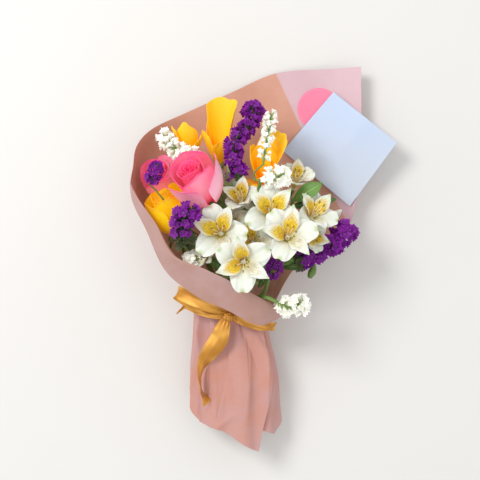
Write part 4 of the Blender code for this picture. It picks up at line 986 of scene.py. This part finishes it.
def make_iris(name):
    base, facing, turned, petals = IRISES[name]
    placed = stand(base, facing, turned)
    bloom = Body()
    for k, (turn, profile, width) in enumerate(petals):
        full, tall = IRIS_FULLNESS[name], profile[3][1] > 60
        wide = [width[0], width[1] * full, width[2] * full, width[3] * full * (1.25 if tall else 1)]
        falls = profile[3][1] < 32
        grid = petal(placed, turn, profile, wide, wrap=0.6, cup=0.1, rounding=0.10 if tall else 0.24, rows=30, columns=20, ruffle=1.1,
                     waves=2.1, notch=0.03, seed=k + len(name))
        shell(bloom, grid, 0.5, IRIS, tone=0.55 if falls else 0.0)
    for k in range(3):
        profile = [(1.5, 2), (4, 12), (6, 22), (9, 31)]
        grid = petal(placed, 120 * k + 35, profile, [2, 4, 5, 3.5], wrap=0.8, rounding=0.2, ruffle=0.5, seed=k)
        shell(bloom, grid, 0.5, IRIS, tone=0.9)
    stalk(bloom, placed, (0, 7, 16), (2.6, 4.2, 3.0), IRIS, tone=0.7)
    dress(bloom, f"{name}_bloom", f"{name}_petals")

    green = Body()
    path = stem_path(name, put(placed, (0, 0, -20)), facing)
    stem(green, path)
    stalk(green, placed, (-22, -12, -4, -0.5), (2.4, 4.0, 4.4, 2.8), PALE_LEAF, tone=0.5)
    for turn, end in ((60, (11, 2)), (240, (12, -2))):
        profile = [(2, -18), (6, -14), (8, -7), end]
        grid = petal(placed, turn, profile, [3, 4, 3.5, 0.5], wrap=0.7, rounding=0.0, columns=8, seed=turn)
        shell(green, grid, 0.5, PALE_LEAF, tone=0.4)
    for spec in EXTRA_LEAVES.get(name, ()):
        leaf(green, path, *spec)
    dress(green, f"{name}_green", f"{name}_stem")


TEPALS = [(90, False), (208, False), (332, False), (43, True), (137, True), (270, True)]
OUTER_TEPAL = ([(1.8, 0), (5, 14), (11, 27), (32, 27)], [2.0, 5.5, 14.5, 17.5])
INNER_TEPAL = ([(1.5, 0), (4, 15), (8, 28), (26, 34)], [1.6, 3.6, 9.2, 9.8])
LOW_TEPAL = ([(1.5, 0), (4, 15), (9, 27), (27, 31)], [1.6, 3.4, 8.4, 8.6])


def make_alstroemeria_bloom(name, index):
    bloom = Body()
    base, facing, turned, size, opening = ALSTROEMERIA[name]
    add_bloom(bloom, stand(base, facing, turned, size * BLOOM_FULLNESS), opening, index)
    dress(bloom, f"{name}_flower", name)


def add_bloom(bloom, placed, opening, index):
    for k, (turn, inner) in enumerate(TEPALS):
        (root, throat, knee, tip), width = OUTER_TEPAL if not inner else LOW_TEPAL if turn == 270 else INNER_TEPAL
        tip = (knee[0] + (tip[0] - knee[0]) * opening, tip[1] + (1 - opening) * 14)
        grid = petal(placed, turn, [root, throat, knee, tip], width, wrap=0.9, rounding=0.24 if inner else 0.24, rows=30,
                     columns=22, ruffle=1.0 if inner else 2.1, waves=2.2, notch=-0.07 if inner else 0.03,
                     roll=1.6, seed=7 * index + k)
        shell(bloom, grid, 0.4, LILY, tone=(0.42 if turn == 270 else 1.0) if inner else 0.0)
    stalk(bloom, placed, (0, 4, 13), (2.2, 3.6, 2.6), LILY)
    draw = random.Random(SEED + index)
    for k in range(6):
        turn = math.radians(60 * k + 80 + draw.uniform(-9, 9))
        out, up = draw.uniform(5.0, 8.5), draw.uniform(30, 36)
        side = np.array((math.cos(turn), math.sin(turn), 0))
        knots = [side * r + (0, 0, z) for r, z in ((1.2, 9), (2.4, 20), (out * 0.7, up - 4), (out, up))]
        path = put(placed, along(knots, 12))
        tube(bloom, path, 0.42, 6, FILAMENT)
        head = unit(path[-1] - path[-3])
        anther = [path[-1] - head * 1.6, path[-1], path[-1] + head * 2.0]
        tube(bloom, anther, [0.7, 1.15, 0.6], 8, ANTHER)


# Blooms that the solids leave out, on the stem that carries them.
EXTRA_BLOOMS = {
    "alstroemeria_stem_3": [((-37, 38, 68), (-0.15, 0.3, 0.95), 110, 0.86, 0.8), ((-8, 58, 66), (0.1, 0.4, 0.9), 10, 0.8, 0.7)],
    "alstroemeria_stem_2": [((44, 24, 88), (0.5, 0.1, 0.85), 200, 0.78, 0.7)],
    "alstroemeria_stem_1": [((-62, 8, 78), (-0.6, -0.1, 0.8), 140, 0.72, 0.6)],
}
BLOOM_FULLNESS = 1.06


def make_bud(name):
    base, facing, size = BUDS[name]
    body = Body()
    stalk(body, stand(base, facing, 0, size), (0, 5, 13, 22, 30), (2.2, 4.4, 6.4, 5.2, 1.2), LILY, 36, 0.22, 3)
    dress(body, f"{name}_closed", name)


def make_umbel(name):
    """An alstroemeria stem with a stalk to each of its blooms and buds, and the small leaves there."""
    hub, carried, leaves = UMBELS[name]
    hub, heading = np.array(hub, float), np.array((0, 0.8, 0.6))
    body = Body()
    path = stem_path(name, hub, heading)
    stem(body, path, 2.4)
    tube(body, [hub - heading * 4, hub, hub + heading * 4], [2.2, 3.4, 2.2], 14, STEM)
    heads = [BUDS.get(head) or ALSTROEMERIA[head] for head in carried]
    extra = EXTRA_BLOOMS.get(name, [])
    for base, facing, *rest in heads + extra:
        placed = stand(base, facing, 0, rest[0] if len(rest) == 1 else rest[1])
        top, swell, under = (put(placed, (0, 0, z)) for z in (-0.5, -4, -9))
        arrive = under - unit(facing) * np.linalg.norm(under - hub) * 0.3
        curve = bend([hub, hub + (under - hub) * 0.35 + heading * 5, arrive, under], np.linspace(0, 1, 18))
        tube(body, np.concatenate((curve, [swell, top])), [1.45] * 18 + [2.5, 2.0], 12, STEM)
    for tip, half, across in leaves:
        leaf(body, np.array([hub, hub + heading]), 0, tip, half, across, 5.0, PALE_LEAF)
    draw = random.Random(len(carried) + int(hub[1]))
    for k in range(11):
        turn = math.radians(137.5 * k + draw.uniform(-15, 15))
        out, start = draw.uniform(26, 44), draw.uniform(5.2, 6.9)
        tip = smooth(path, np.array([start]))[0] + (out * math.cos(turn), out * math.sin(turn) * 0.8 + 10, draw.uniform(6, 22))
        beside = (-math.sin(turn), math.cos(turn), 0.15)
        leaf(body, path, start, tip, draw.uniform(4.2, 6.2), beside, 7.0, LEAF if k % 3 else PALE_LEAF, draw.random())
    for spec in EXTRA_LEAVES.get(name, ()):
        leaf(body, path, *spec)
    dress(body, f"{name}_green", name)
    if extra:
        more = Body()
        for k, (base, facing, turned, size, opening) in enumerate(extra):
            add_bloom(more, stand(base, facing, turned, size), opening, 20 + 5 * k + len(carried))
        made = more.make(f"{name}_small_flowers")
        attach(made, "root")


# Leaves that the solids leave out: place along the stem, tip, half width, direction across, lift, finish.
EXTRA_LEAVES = {
    "alstroemeria_stem_3": [
        (6.6, (-57, 112, 118), 5.0, (1, 0.3, 0.2), 14, PALE_LEAF),
        (6.8, (-45, 109, 114), 4.4, (1, 0, 0.2), 12, PALE_LEAF),
        (6.9, (-32, 104, 106), 4.4, (1, -0.3, 0.2), 10, LEAF),
        (6.5, (-66, 100, 112), 4.4, (0.8, 0.6, 0.1), 10, PALE_LEAF),
    ],
    "alstroemeria_stem_1": [
        (6.6, (-78, 6, 90), 4.2, (0.2, 1, 0.2), 12, LEAF),
        (6.2, (-62, -26, 84), 4.0, (0.5, 1, 0.2), 8, PALE_LEAF),
    ],
    "alstroemeria_stem_2": [
        (6.4, (52, 66, 72), 5.0, (1, -0.6, 0.2), 5, LEAF),
    ],
    "rose_pink_front": [
        (6.3, (-84, 44, 86), 6.5, (0.9, 0.4, 0.2), 4, LEAF),
    ],
}


# ---- Statice ----

def make_floret():
    """One papery floret, a unit long: a ribbed cup with five lobes and a small eye."""
    sides, body = 20, Body()
    profile = [(0.10, 0.0, 0.0), (0.13, 0.2, 0.18), (0.15, 0.42, 0.36), (0.21, 0.64, 0.52), (0.33, 0.84, 0.68),
               (0.42, 0.97, 0.78), (0.34, 0.93, 0.84), (0.20, 0.80, 0.90), (0.08, 0.74, 0.95)]
    turn = np.linspace(0, 2 * math.pi, sides, endpoint=False)
    rings, spots = [], []
    for radius, height, v in profile:
        flare = min(radius / 0.42, 1.0)
        reach = radius * (1 + 0.20 * flare**2 * np.cos(5 * turn))
        lift = height + 0.07 * flare**3 * np.cos(10 * turn)
        rings.append(np.stack((np.cos(turn) * reach, np.sin(turn) * reach, lift), -1))
        spots.append(np.stack((turn / (2 * math.pi), np.full(sides, v)), -1))
    place = np.arange(len(profile) * sides).reshape(-1, sides)
    a, b = place[:-1], np.roll(place[:-1], -1, 1)
    faces = np.stack((a, b, b + sides, a + sides), -1).reshape(-1, 4).tolist()
    faces += [tuple(place[0][::-1]), tuple(place[-1])]
    body.add(np.concatenate(rings) / 1.0, faces, PURPLE, np.concatenate(spots))
    made = body.make("floret")
    for vertex in made.data.vertices:
        vertex.co = (vertex.co / MM + Vector(ORIGIN)) * MM
    return made


def florets_tree():
    """Sets one floret on each place, turned the way the place faces, each a little different."""
    tree = bpy.data.node_groups.new("Florets on a spike", "GeometryNodeTree")
    ports = {}
    for name, kind in (("Places", "Geometry"), ("Floret", "Object"), ("Length", "Float"), ("Length Spread", "Float"),
                       ("Turn Spread", "Float"), ("Seed", "Int"), ("Finish", "Material")):
        port = tree.interface.new_socket(name, in_out="INPUT", socket_type=f"NodeSocket{kind}")
        ports[name] = port.identifier
    tree.interface.new_socket("Florets", in_out="OUTPUT", socket_type="NodeSocketGeometry")

    def node(kind, settings=None, sockets=None):
        made = tree.nodes.new(kind)
        for key, value in (settings or {}).items():
            setattr(made, key, value)
        for key, value in (sockets or {}).items():
            if isinstance(value, bpy.types.NodeSocket):
                tree.links.new(value, made.inputs[key])
            else:
                made.inputs[key].default_value = value
        return made

    given = node("NodeGroupInput").outputs
    form = node("GeometryNodeObjectInfo", {"transform_space": "ORIGINAL"}, {"Object": given["Floret"]})
    facing = node("GeometryNodeInputNamedAttribute", {"data_type": "FLOAT_VECTOR"}, {"Name": "facing"})
    reach = node("GeometryNodeInputNamedAttribute", {"data_type": "FLOAT"}, {"Name": "reach"})
    aimed = node("FunctionNodeAlignRotationToVector", {"axis": "Z"}, {"Vector": facing.outputs[0]})
    spin = node("FunctionNodeRandomValue", {"data_type": "FLOAT"}, {2: 0.0, 3: given["Turn Spread"], "Seed": given["Seed"]})
    turned = node("FunctionNodeAxisAngleToRotation", None, {"Axis": (0, 0, 1), "Angle": spin.outputs[1]})
    rotation = node("FunctionNodeRotateRotation", {"rotation_space": "LOCAL"},
                    {"Rotation": aimed.outputs[0], "Rotate By": turned.outputs[0]})
    low = node("ShaderNodeMath", {"operation": "SUBTRACT"}, {0: 1.0, 1: given["Length Spread"]})
    high = node("ShaderNodeMath", {"operation": "ADD"}, {0: 1.0, 1: given["Length Spread"]})
    vary = node("FunctionNodeRandomValue", {"data_type": "FLOAT"}, {2: low.outputs[0], 3: high.outputs[0]})
    tree.links.new(given["Seed"], vary.inputs["Seed"])
    sized = node("ShaderNodeMath", {"operation": "MULTIPLY"}, {0: vary.outputs[1], 1: given["Length"]})
    scale = node("ShaderNodeMath", {"operation": "MULTIPLY"}, {0: sized.outputs[0], 1: reach.outputs[0]})
    set_on = node("GeometryNodeInstanceOnPoints", None,
                  {"Points": given["Places"], "Instance": form.outputs["Geometry"], "Rotation": rotation.outputs[0],
                   "Scale": scale.outputs[0]})
    real = node("GeometryNodeRealizeInstances", None, {"Geometry": set_on.outputs[0]})
    finished = node("GeometryNodeSetMaterial", None, {"Geometry": real.outputs[0], "Material": given["Finish"]})
    out = node("NodeGroupOutput")
    tree.links.new(finished.outputs[0], out.inputs[0])
    return tree, ports


def grow_florets(tree, ports, floret, places, facings, reaches, tones, length, seed, finish):
    """A plain mesh of florets in metres, one on each place."""
    mesh = bpy.data.meshes.new("places")
    mesh.from_pydata(((places - ORIGIN) * MM).tolist(), [], [])
    for name, kind, values, key in (("facing", "FLOAT_VECTOR", facings, "vector"), ("reach", "FLOAT", reaches, "value"),
                                    ("tone", "FLOAT", tones, "value")):
        stored = mesh.attributes.new(name, kind, "POINT")
        stored.data.foreach_set(key, np.asarray(values, np.float32).ravel())
    holder = bpy.data.objects.new("spike", mesh)
    bpy.context.scene.collection.objects.link(holder)
    grown = holder.modifiers.new("Florets", "NODES")
    grown.node_group = tree
    settings = {"Floret": floret, "Length": length, "Length Spread": 0.14, "Turn Spread": 6.283, "Seed": seed,
                "Finish": finish}
    for name, value in settings.items():
        grown[ports[name]] = value
    seen = holder.evaluated_get(bpy.context.evaluated_depsgraph_get())
    made = bpy.data.meshes.new_from_object(seen)
    holder.modifiers.clear()
    bpy.data.objects.remove(holder)
    return made


FLORET_SIZE = {"statice_white_2": 0.74, "statice_white_1": 0.9, "statice_purple_1": 0.94}
# The share of a spike, from its foot, that shows green cups and no petals; their dark green is partly their own colour
# and partly painted shade.
BARE_PART = {"statice_purple_3": 0.42, "statice_purple_4": 0.12}


def make_statice(name, table, finish, index, tree, ports, floret):
    path, radii, rings, sides, long = table[name]
    path = np.array(path, float)
    last = len(path) - 1
    draw = random.Random(SEED + 31 * index)
    body = Body()
    count = int(rings * sides * 1.9)
    along_path = np.linspace(0.05, 0.995, count)
    clumps = max(round(np.linalg.norm(np.diff(path, axis=0), axis=1).sum() / 22), 1)
    t = (along_path - 0.55 * np.sin(2 * math.pi * clumps * along_path) / (2 * math.pi * clumps)) * last
    bunched = 0.5 - 0.5 * np.cos(2 * math.pi * clumps * along_path)
    middle = smooth(path, t)
    ahead = unit(smooth(path, np.minimum(t + 0.05, last)) - smooth(path, np.maximum(t - 0.05, 0)))
    side = unit(np.cross(ahead, (0.3, 0.1, 1.0)))
    beside = np.cross(ahead, side)
    turn = np.array([2.39996 * k + draw.uniform(-0.3, 0.3) for k in range(count)])[:, None]
    out = side * np.cos(turn) + beside * np.sin(turn)
    core = smooth(radii, t / last * (len(radii) - 1))[:, None]
    lean = np.array([draw.uniform(0.1, 0.75) for _ in range(count)])[:, None]
    facing = unit(out + ahead * lean + np.array([[draw.uniform(-0.2, 0.2) for _ in range(3)] for _ in range(count)]))
    places = middle + out * core * 0.5
    reaches = np.array([draw.uniform(0.78, 1.12) for _ in range(count)]) * (0.80 + 0.34 * bunched)
    tones = [draw.random() for _ in range(count)]
    bare = along_path < BARE_PART.get(name, 0.0)
    # The bare foot gets the dark cups: their own green with painted shade on it.
    for part, look, seed in ((~bare, finish, SEED + index), (bare, SHADED_CALYX, SEED + 60 + index)):
        if part.any():
            shown = [np.asarray(values)[part] for values in (places, facing, reaches, tones)]
            body.take(grow_florets(tree, ports, floret, *shown, (long + 1.0) * FLORET_SIZE.get(name, 1.0), seed, look), look)
    t = np.linspace(0, last, 30)
    tube(body, smooth(path, t), np.linspace(1.5, 1.0, 30), 10, STEM)
    dress(body, f"{name}_spike", f"{name}_florets")
    if name not in STEMS:
        return
    heading = unit(smooth(path, np.array([0.05]))[0] - path[0])
    route = stem_path(name, path[0] - heading * 0.7, heading)
    green = Body()
    stem(green, route, 1.9)
    if name in SIDE_BRANCHES:
        carried, start, bends = SIDE_BRANCHES[name]
        spike = np.array(table[carried][0], float)
        heading = unit(smooth(spike, np.array([0.05]))[0] - spike[0])
        end = spike[0] - heading * 0.7
        way = [smooth(route, np.array([start]))[0], *bends, end - heading * 3, end]
        tube(green, along(way, 36), 1.0, 10, STEM)
    dress(green, f"{name}_green", f"{name}_stem")


def make_foliage():
    path = stem_path("foliage", (32, 70, 92), (0.05, 0.8, 0.6))
    body = Body()
    stem(body, path, 2.0)
    for k, (at, tip, half, across, lift) in enumerate(FOLIAGE_LEAVES):
        leaf(body, path, at, tip, half * 1.05, across, lift, LEAF, 0.8 - 0.7 * k)
    droop = np.array([smooth(path, np.array([3.6]))[0], *POD_STALK])
    t = np.linspace(0, 4, 48)
    tube(body, smooth(droop, t), np.interp(t, (0, 2, 2.5, 3, 3.5, 4), (1.6, 2.0, 3.0, 4.2, 5.2, 3.2)), 18, STEM, 0.12, 5)
    dress(body, "leafy_stem", "foliage")


# ---- The tie, the ribbon, the card and the label ----

def loop_round(points, centre, count, offset):
    """The taut loop round the places in the XZ plane, at a distance outside them."""
    step = 2 * math.pi / count
    turn = np.arange(count) * step
    outs = np.stack((np.cos(turn), turn * 0, np.sin(turn)), -1)
    far = ((points - centre) @ outs.T).max(0) + offset
    beside = np.stack((-np.sin(turn), turn * 0, np.cos(turn)), -1)
    reach = (np.roll(far, -1) - far * math.cos(step)) / math.sin(step)
    return centre + outs * far[:, None] + beside * reach[:, None]


def closed_shell(body, grid, thickness, finish):
    """A thin band that is closed on itself: rows across it, columns round it."""
    rows, around = grid.shape[:2]
    over = np.roll(grid, -1, 1) - np.roll(grid, 1, 1)
    normal = unit(np.cross(over, np.gradient(grid, axis=0)))
    points = np.concatenate(((grid + normal * thickness / 2).reshape(-1, 3), (grid - normal * thickness / 2).reshape(-1, 3)))
    count = rows * around
    place = np.arange(count).reshape(rows, around)
    a, b = place[:-1], np.roll(place[:-1], -1, 1)
    front = np.stack((a, b, b + around, a + around), -1).reshape(-1, 4)
    low, low_next = place[0], np.roll(place[0], -1)
    high, high_next = place[-1], np.roll(place[-1], -1)
    rims = [np.stack((low_next, low, low + count, low_next + count), -1),
            np.stack((high, high_next, high_next + count, high + count), -1)]
    v, u = np.meshgrid(np.linspace(0, 1, rows), np.linspace(0, 1, around), indexing="ij")
    spread = np.stack((v, u * 4), -1).reshape(-1, 2)
    faces = np.concatenate((front, front[:, ::-1] + count, *rims))
    body.add(points, faces, finish, np.concatenate((spread, spread)))


def make_tie():
    slots = np.array([(a * STEM_PITCH, 0, u * ROW_PITCH) for a, u, *_ in STEMS.values()]) + TIE
    loop = loop_round(slots, TIE, 64, TIE_RADIUS + 1.0)
    loop = smooth(np.concatenate((loop, loop[:1])), np.linspace(0, 64, 97))[:-1]
    turns, body = 5, Body()
    steps = np.arange(turns * 96)
    path = loop[steps % 96].copy()
    path[:, 1] += -3.6 + 7.2 * steps / len(steps)
    tube(body, path, 0.8, 10, TWINE)
    dress(body, "twine_round_stems", "stems_tie")


def make_ribbon(paper):
    near = paper[46:110].reshape(-1, 3)
    near = near[np.abs(near[:, 1] - (NECK_CENTRE[1] - NECK_SLANT * (near[:, 0] - NECK_CENTRE[0]))) < 5.4]
    loop = loop_round(near, NECK_CENTRE, 96, 0.9)
    loop[:, 1] = NECK_CENTRE[1] - NECK_SLANT * (loop[:, 0] - NECK_CENTRE[0])
    rows = []
    turn = np.arange(96) / 96 * 2 * math.pi
    outward = np.stack((np.cos(turn), turn * 0, np.sin(turn)), -1)
    for k in range(13):
        c = k / 6 - 1
        folds = 0.5 * np.cos(3 * math.pi * c + 2 * np.sin(3 * turn)) + 0.3 * np.cos(7 * math.pi * c + 3 * turn)
        rows.append(loop + (0, 5.0 * c, 0) + outward * (folds * 0.5)[:, None])
    body = Body()
    closed_shell(body, np.array(rows)[::-1], 0.4, SATIN)
    dress(body, "ribbon_round_neck", "ribbon_band")

    bow = Body()
    knot = along(KNOT, 26)
    tube(bow, knot, smooth([3.0, 5.6, 6.4, 5.6, 3.0], np.linspace(0, 4, 26)), 48, SATIN, 0.10, 9)
    for k, (path, across, widths) in enumerate(RIBBON_PIECES):
        grid = strip(path, across, widths, rise=0.10, rows=110, columns=16)
        s = np.linspace(0, 1, 111)[:, None]
        c = np.linspace(-1, 1, 17)[None, :]
        near_knot = np.exp(-((s / 0.10) ** 2)) + (np.exp(-(((1 - s) / 0.10) ** 2)) if k in (0, 2) else 0)
        gather = (0.25 + 0.9 * near_knot) * np.cos((2.2 + k * 0.4) * math.pi * c + 2.0 * s + k)
        down, over = np.gradient(grid, axis=0), np.gradient(grid, axis=1)
        grid = grid + unit(np.cross(over, down)) * (gather * 0.55)[..., None]
        v, u = np.meshgrid(np.linspace(0, 1, 111), np.linspace(0, 1, 17), indexing="ij")
        shell(bow, grid, 0.35, SATIN, spread=np.stack((u, v), -1))
    dress(bow, "ribbon_bow_and_tails", "ribbon_bow")


def make_card():
    a, b, c, d = (np.array(p, float) for p in CARD_CORNERS)
    normal = unit(np.cross(b - a, c - a))
    normal = normal if normal[2] > 0 else -normal
    v, u = np.meshgrid(np.linspace(0, 1, 25), np.linspace(0, 1, 25), indexing="ij")
    rise = 0.4 + 0.5 * np.sin(math.pi * u) * np.sin(math.pi * v)
    u3, v3 = u[..., None], v[..., None]
    grid = (a * (1 - u3) + b * u3) * (1 - v3) + (d * (1 - u3) + c * u3) * v3 + normal * rise[..., None]
    body = Body()
    shell(body, grid, 0.45, CARD)
    dress(body, "blank_card", "message_card", sharp=30)


def make_label(paper, across_count):
    from mathutils.bvhtree import BVHTree
    rows, columns = paper.shape[:2]
    place = np.arange(rows * columns).reshape(rows, columns)
    quads = np.stack((place[:-1, :-1], place[:-1, 1:], place[1:, 1:], place[1:, :-1]), -1).reshape(-1, 4)
    tree = BVHTree.FromPolygons(paper.reshape(-1, 3).tolist(), quads.tolist())
    rings, sides = 14, across_count
    layers = []
    for lift in (0.75, 0.45):
        points = []
        for k in range(rings + 1):
            for i in range(sides if k else 1):
                turn = 2 * math.pi * i / sides
                x = LABEL_CENTRE[0] + LABEL_RADIUS * k / rings * math.cos(turn)
                y = LABEL_CENTRE[1] + LABEL_RADIUS * k / rings * math.sin(turn)
                hit = tree.ray_cast(Vector((x, y, 300)), Vector((0, 0, -1)))[0]
                points.append((x, y, hit.z + lift))
        layers.append(points)
    count = len(layers[0])
    faces = []
    for i in range(sides):
        j = (i + 1) % sides
        faces.append((0, 1 + i, 1 + j))
        faces.append((count, count + 1 + j, count + 1 + i))
        for k in range(1, rings):
            p, q = 1 + (k - 1) * sides, 1 + k * sides
            faces.append((p + i, q + i, q + j, p + j))
            faces.append((count + p + j, count + q + j, count + q + i, count + p + i))
        q = 1 + (rings - 1) * sides
        faces.append((q + j, q + i, count + q + i, count + q + j))
    spots = [(0.0, 0.0)] + [(i / sides, k / rings) for k in range(1, rings + 1) for i in range(sides)]
    body = Body()
    body.add(layers[0] + layers[1], faces, LABEL, np.array(spots * 2))
    dress(body, "blank_round_label", "round_label", sharp=40)


# ---- Floor, light and camera ----

def make_floor():
    f = Finish("pale_floor", 0.7)
    grain = f.noise(3.0, 3.0, 0.6)
    f.set("Base Color", f.mix(grain, srgb(220, 219, 217), srgb(226, 225, 223)))
    mesh = bpy.data.meshes.new("floor")
    half, back = 25.0, 0.0
    mesh.from_pydata([(-half, -half, back), (half, -half, back), (half, half, back), (-half, half, back)], [], [(0, 1, 2, 3)])
    mesh.materials.append(f.material)
    floor = bpy.data.objects.new("floor", mesh)
    bpy.context.scene.collection.objects.link(floor)


def light(name, place, aim, size, power, colour=(1, 1, 1)):
    lamp = bpy.data.lights.new(name, "AREA")
    lamp.shape, lamp.size, lamp.energy, lamp.color = "DISK", size, power, colour
    made = bpy.data.objects.new(name, lamp)
    bpy.context.scene.collection.objects.link(made)
    made.location = place
    made.rotation_euler = (Vector(aim) - Vector(place)).to_track_quat("-Z", "Y").to_euler()


def make_studio():
    world = bpy.data.worlds.new("studio")
    world.use_nodes = True
    world.node_tree.nodes["Background"].inputs[0].default_value = (1.0, 0.99, 0.98, 1)
    world.node_tree.nodes["Background"].inputs[1].default_value = 0.82
    scene = bpy.context.scene
    scene.world = world
    scene.view_settings.view_transform = "Standard"
    light("softbox_left", (-1.2, 0.9, 1.9), (0, 0, 0), 0.9, 30, (1.0, 0.99, 0.97))
    light("softbox_right", (1.5, -0.6, 1.8), (0, 0, 0), 1.6, 4, (0.97, 0.98, 1.0))
    camera = bpy.data.objects.new("camera", bpy.data.cameras.new("camera"))
    scene.collection.objects.link(camera)
    camera.location = ((-30 - ORIGIN[0]) * MM, (21.6 - ORIGIN[1]) * MM, 1.4)
    camera.data.sensor_width = 36
    camera.data.lens = 18 / (288 / 1340)
    camera.data.clip_start, camera.data.clip_end = 0.01, 100
    scene.camera = camera


def main():
    make_studio()
    make_floor()
    paper = make_paper()
    make_ribbon(paper)
    make_card()
    make_label(paper, 72)
    make_tie()
    make_rose("rose_pink_front", PINK)
    make_rose("rose_pink_back", PINK)
    make_rose("rose_yellow", GOLDEN)
    for name in IRISES:
        make_iris(name)
    for index, name in enumerate(ALSTROEMERIA):
        make_alstroemeria_bloom(name, index)
    for name in BUDS:
        make_bud(name)
    for name in UMBELS:
        make_umbel(name)
    floret = make_floret()
    tree, ports = florets_tree()
    for index, name in enumerate(STATICE):
        make_statice(name, STATICE, PURPLE, index, tree, ports, floret)
    for index, name in enumerate(WHITE_STATICE):
        make_statice(name, WHITE_STATICE, CREAM, index + 9, tree, ports, floret)
    bpy.data.objects.remove(floret)
    make_foliage()


main()
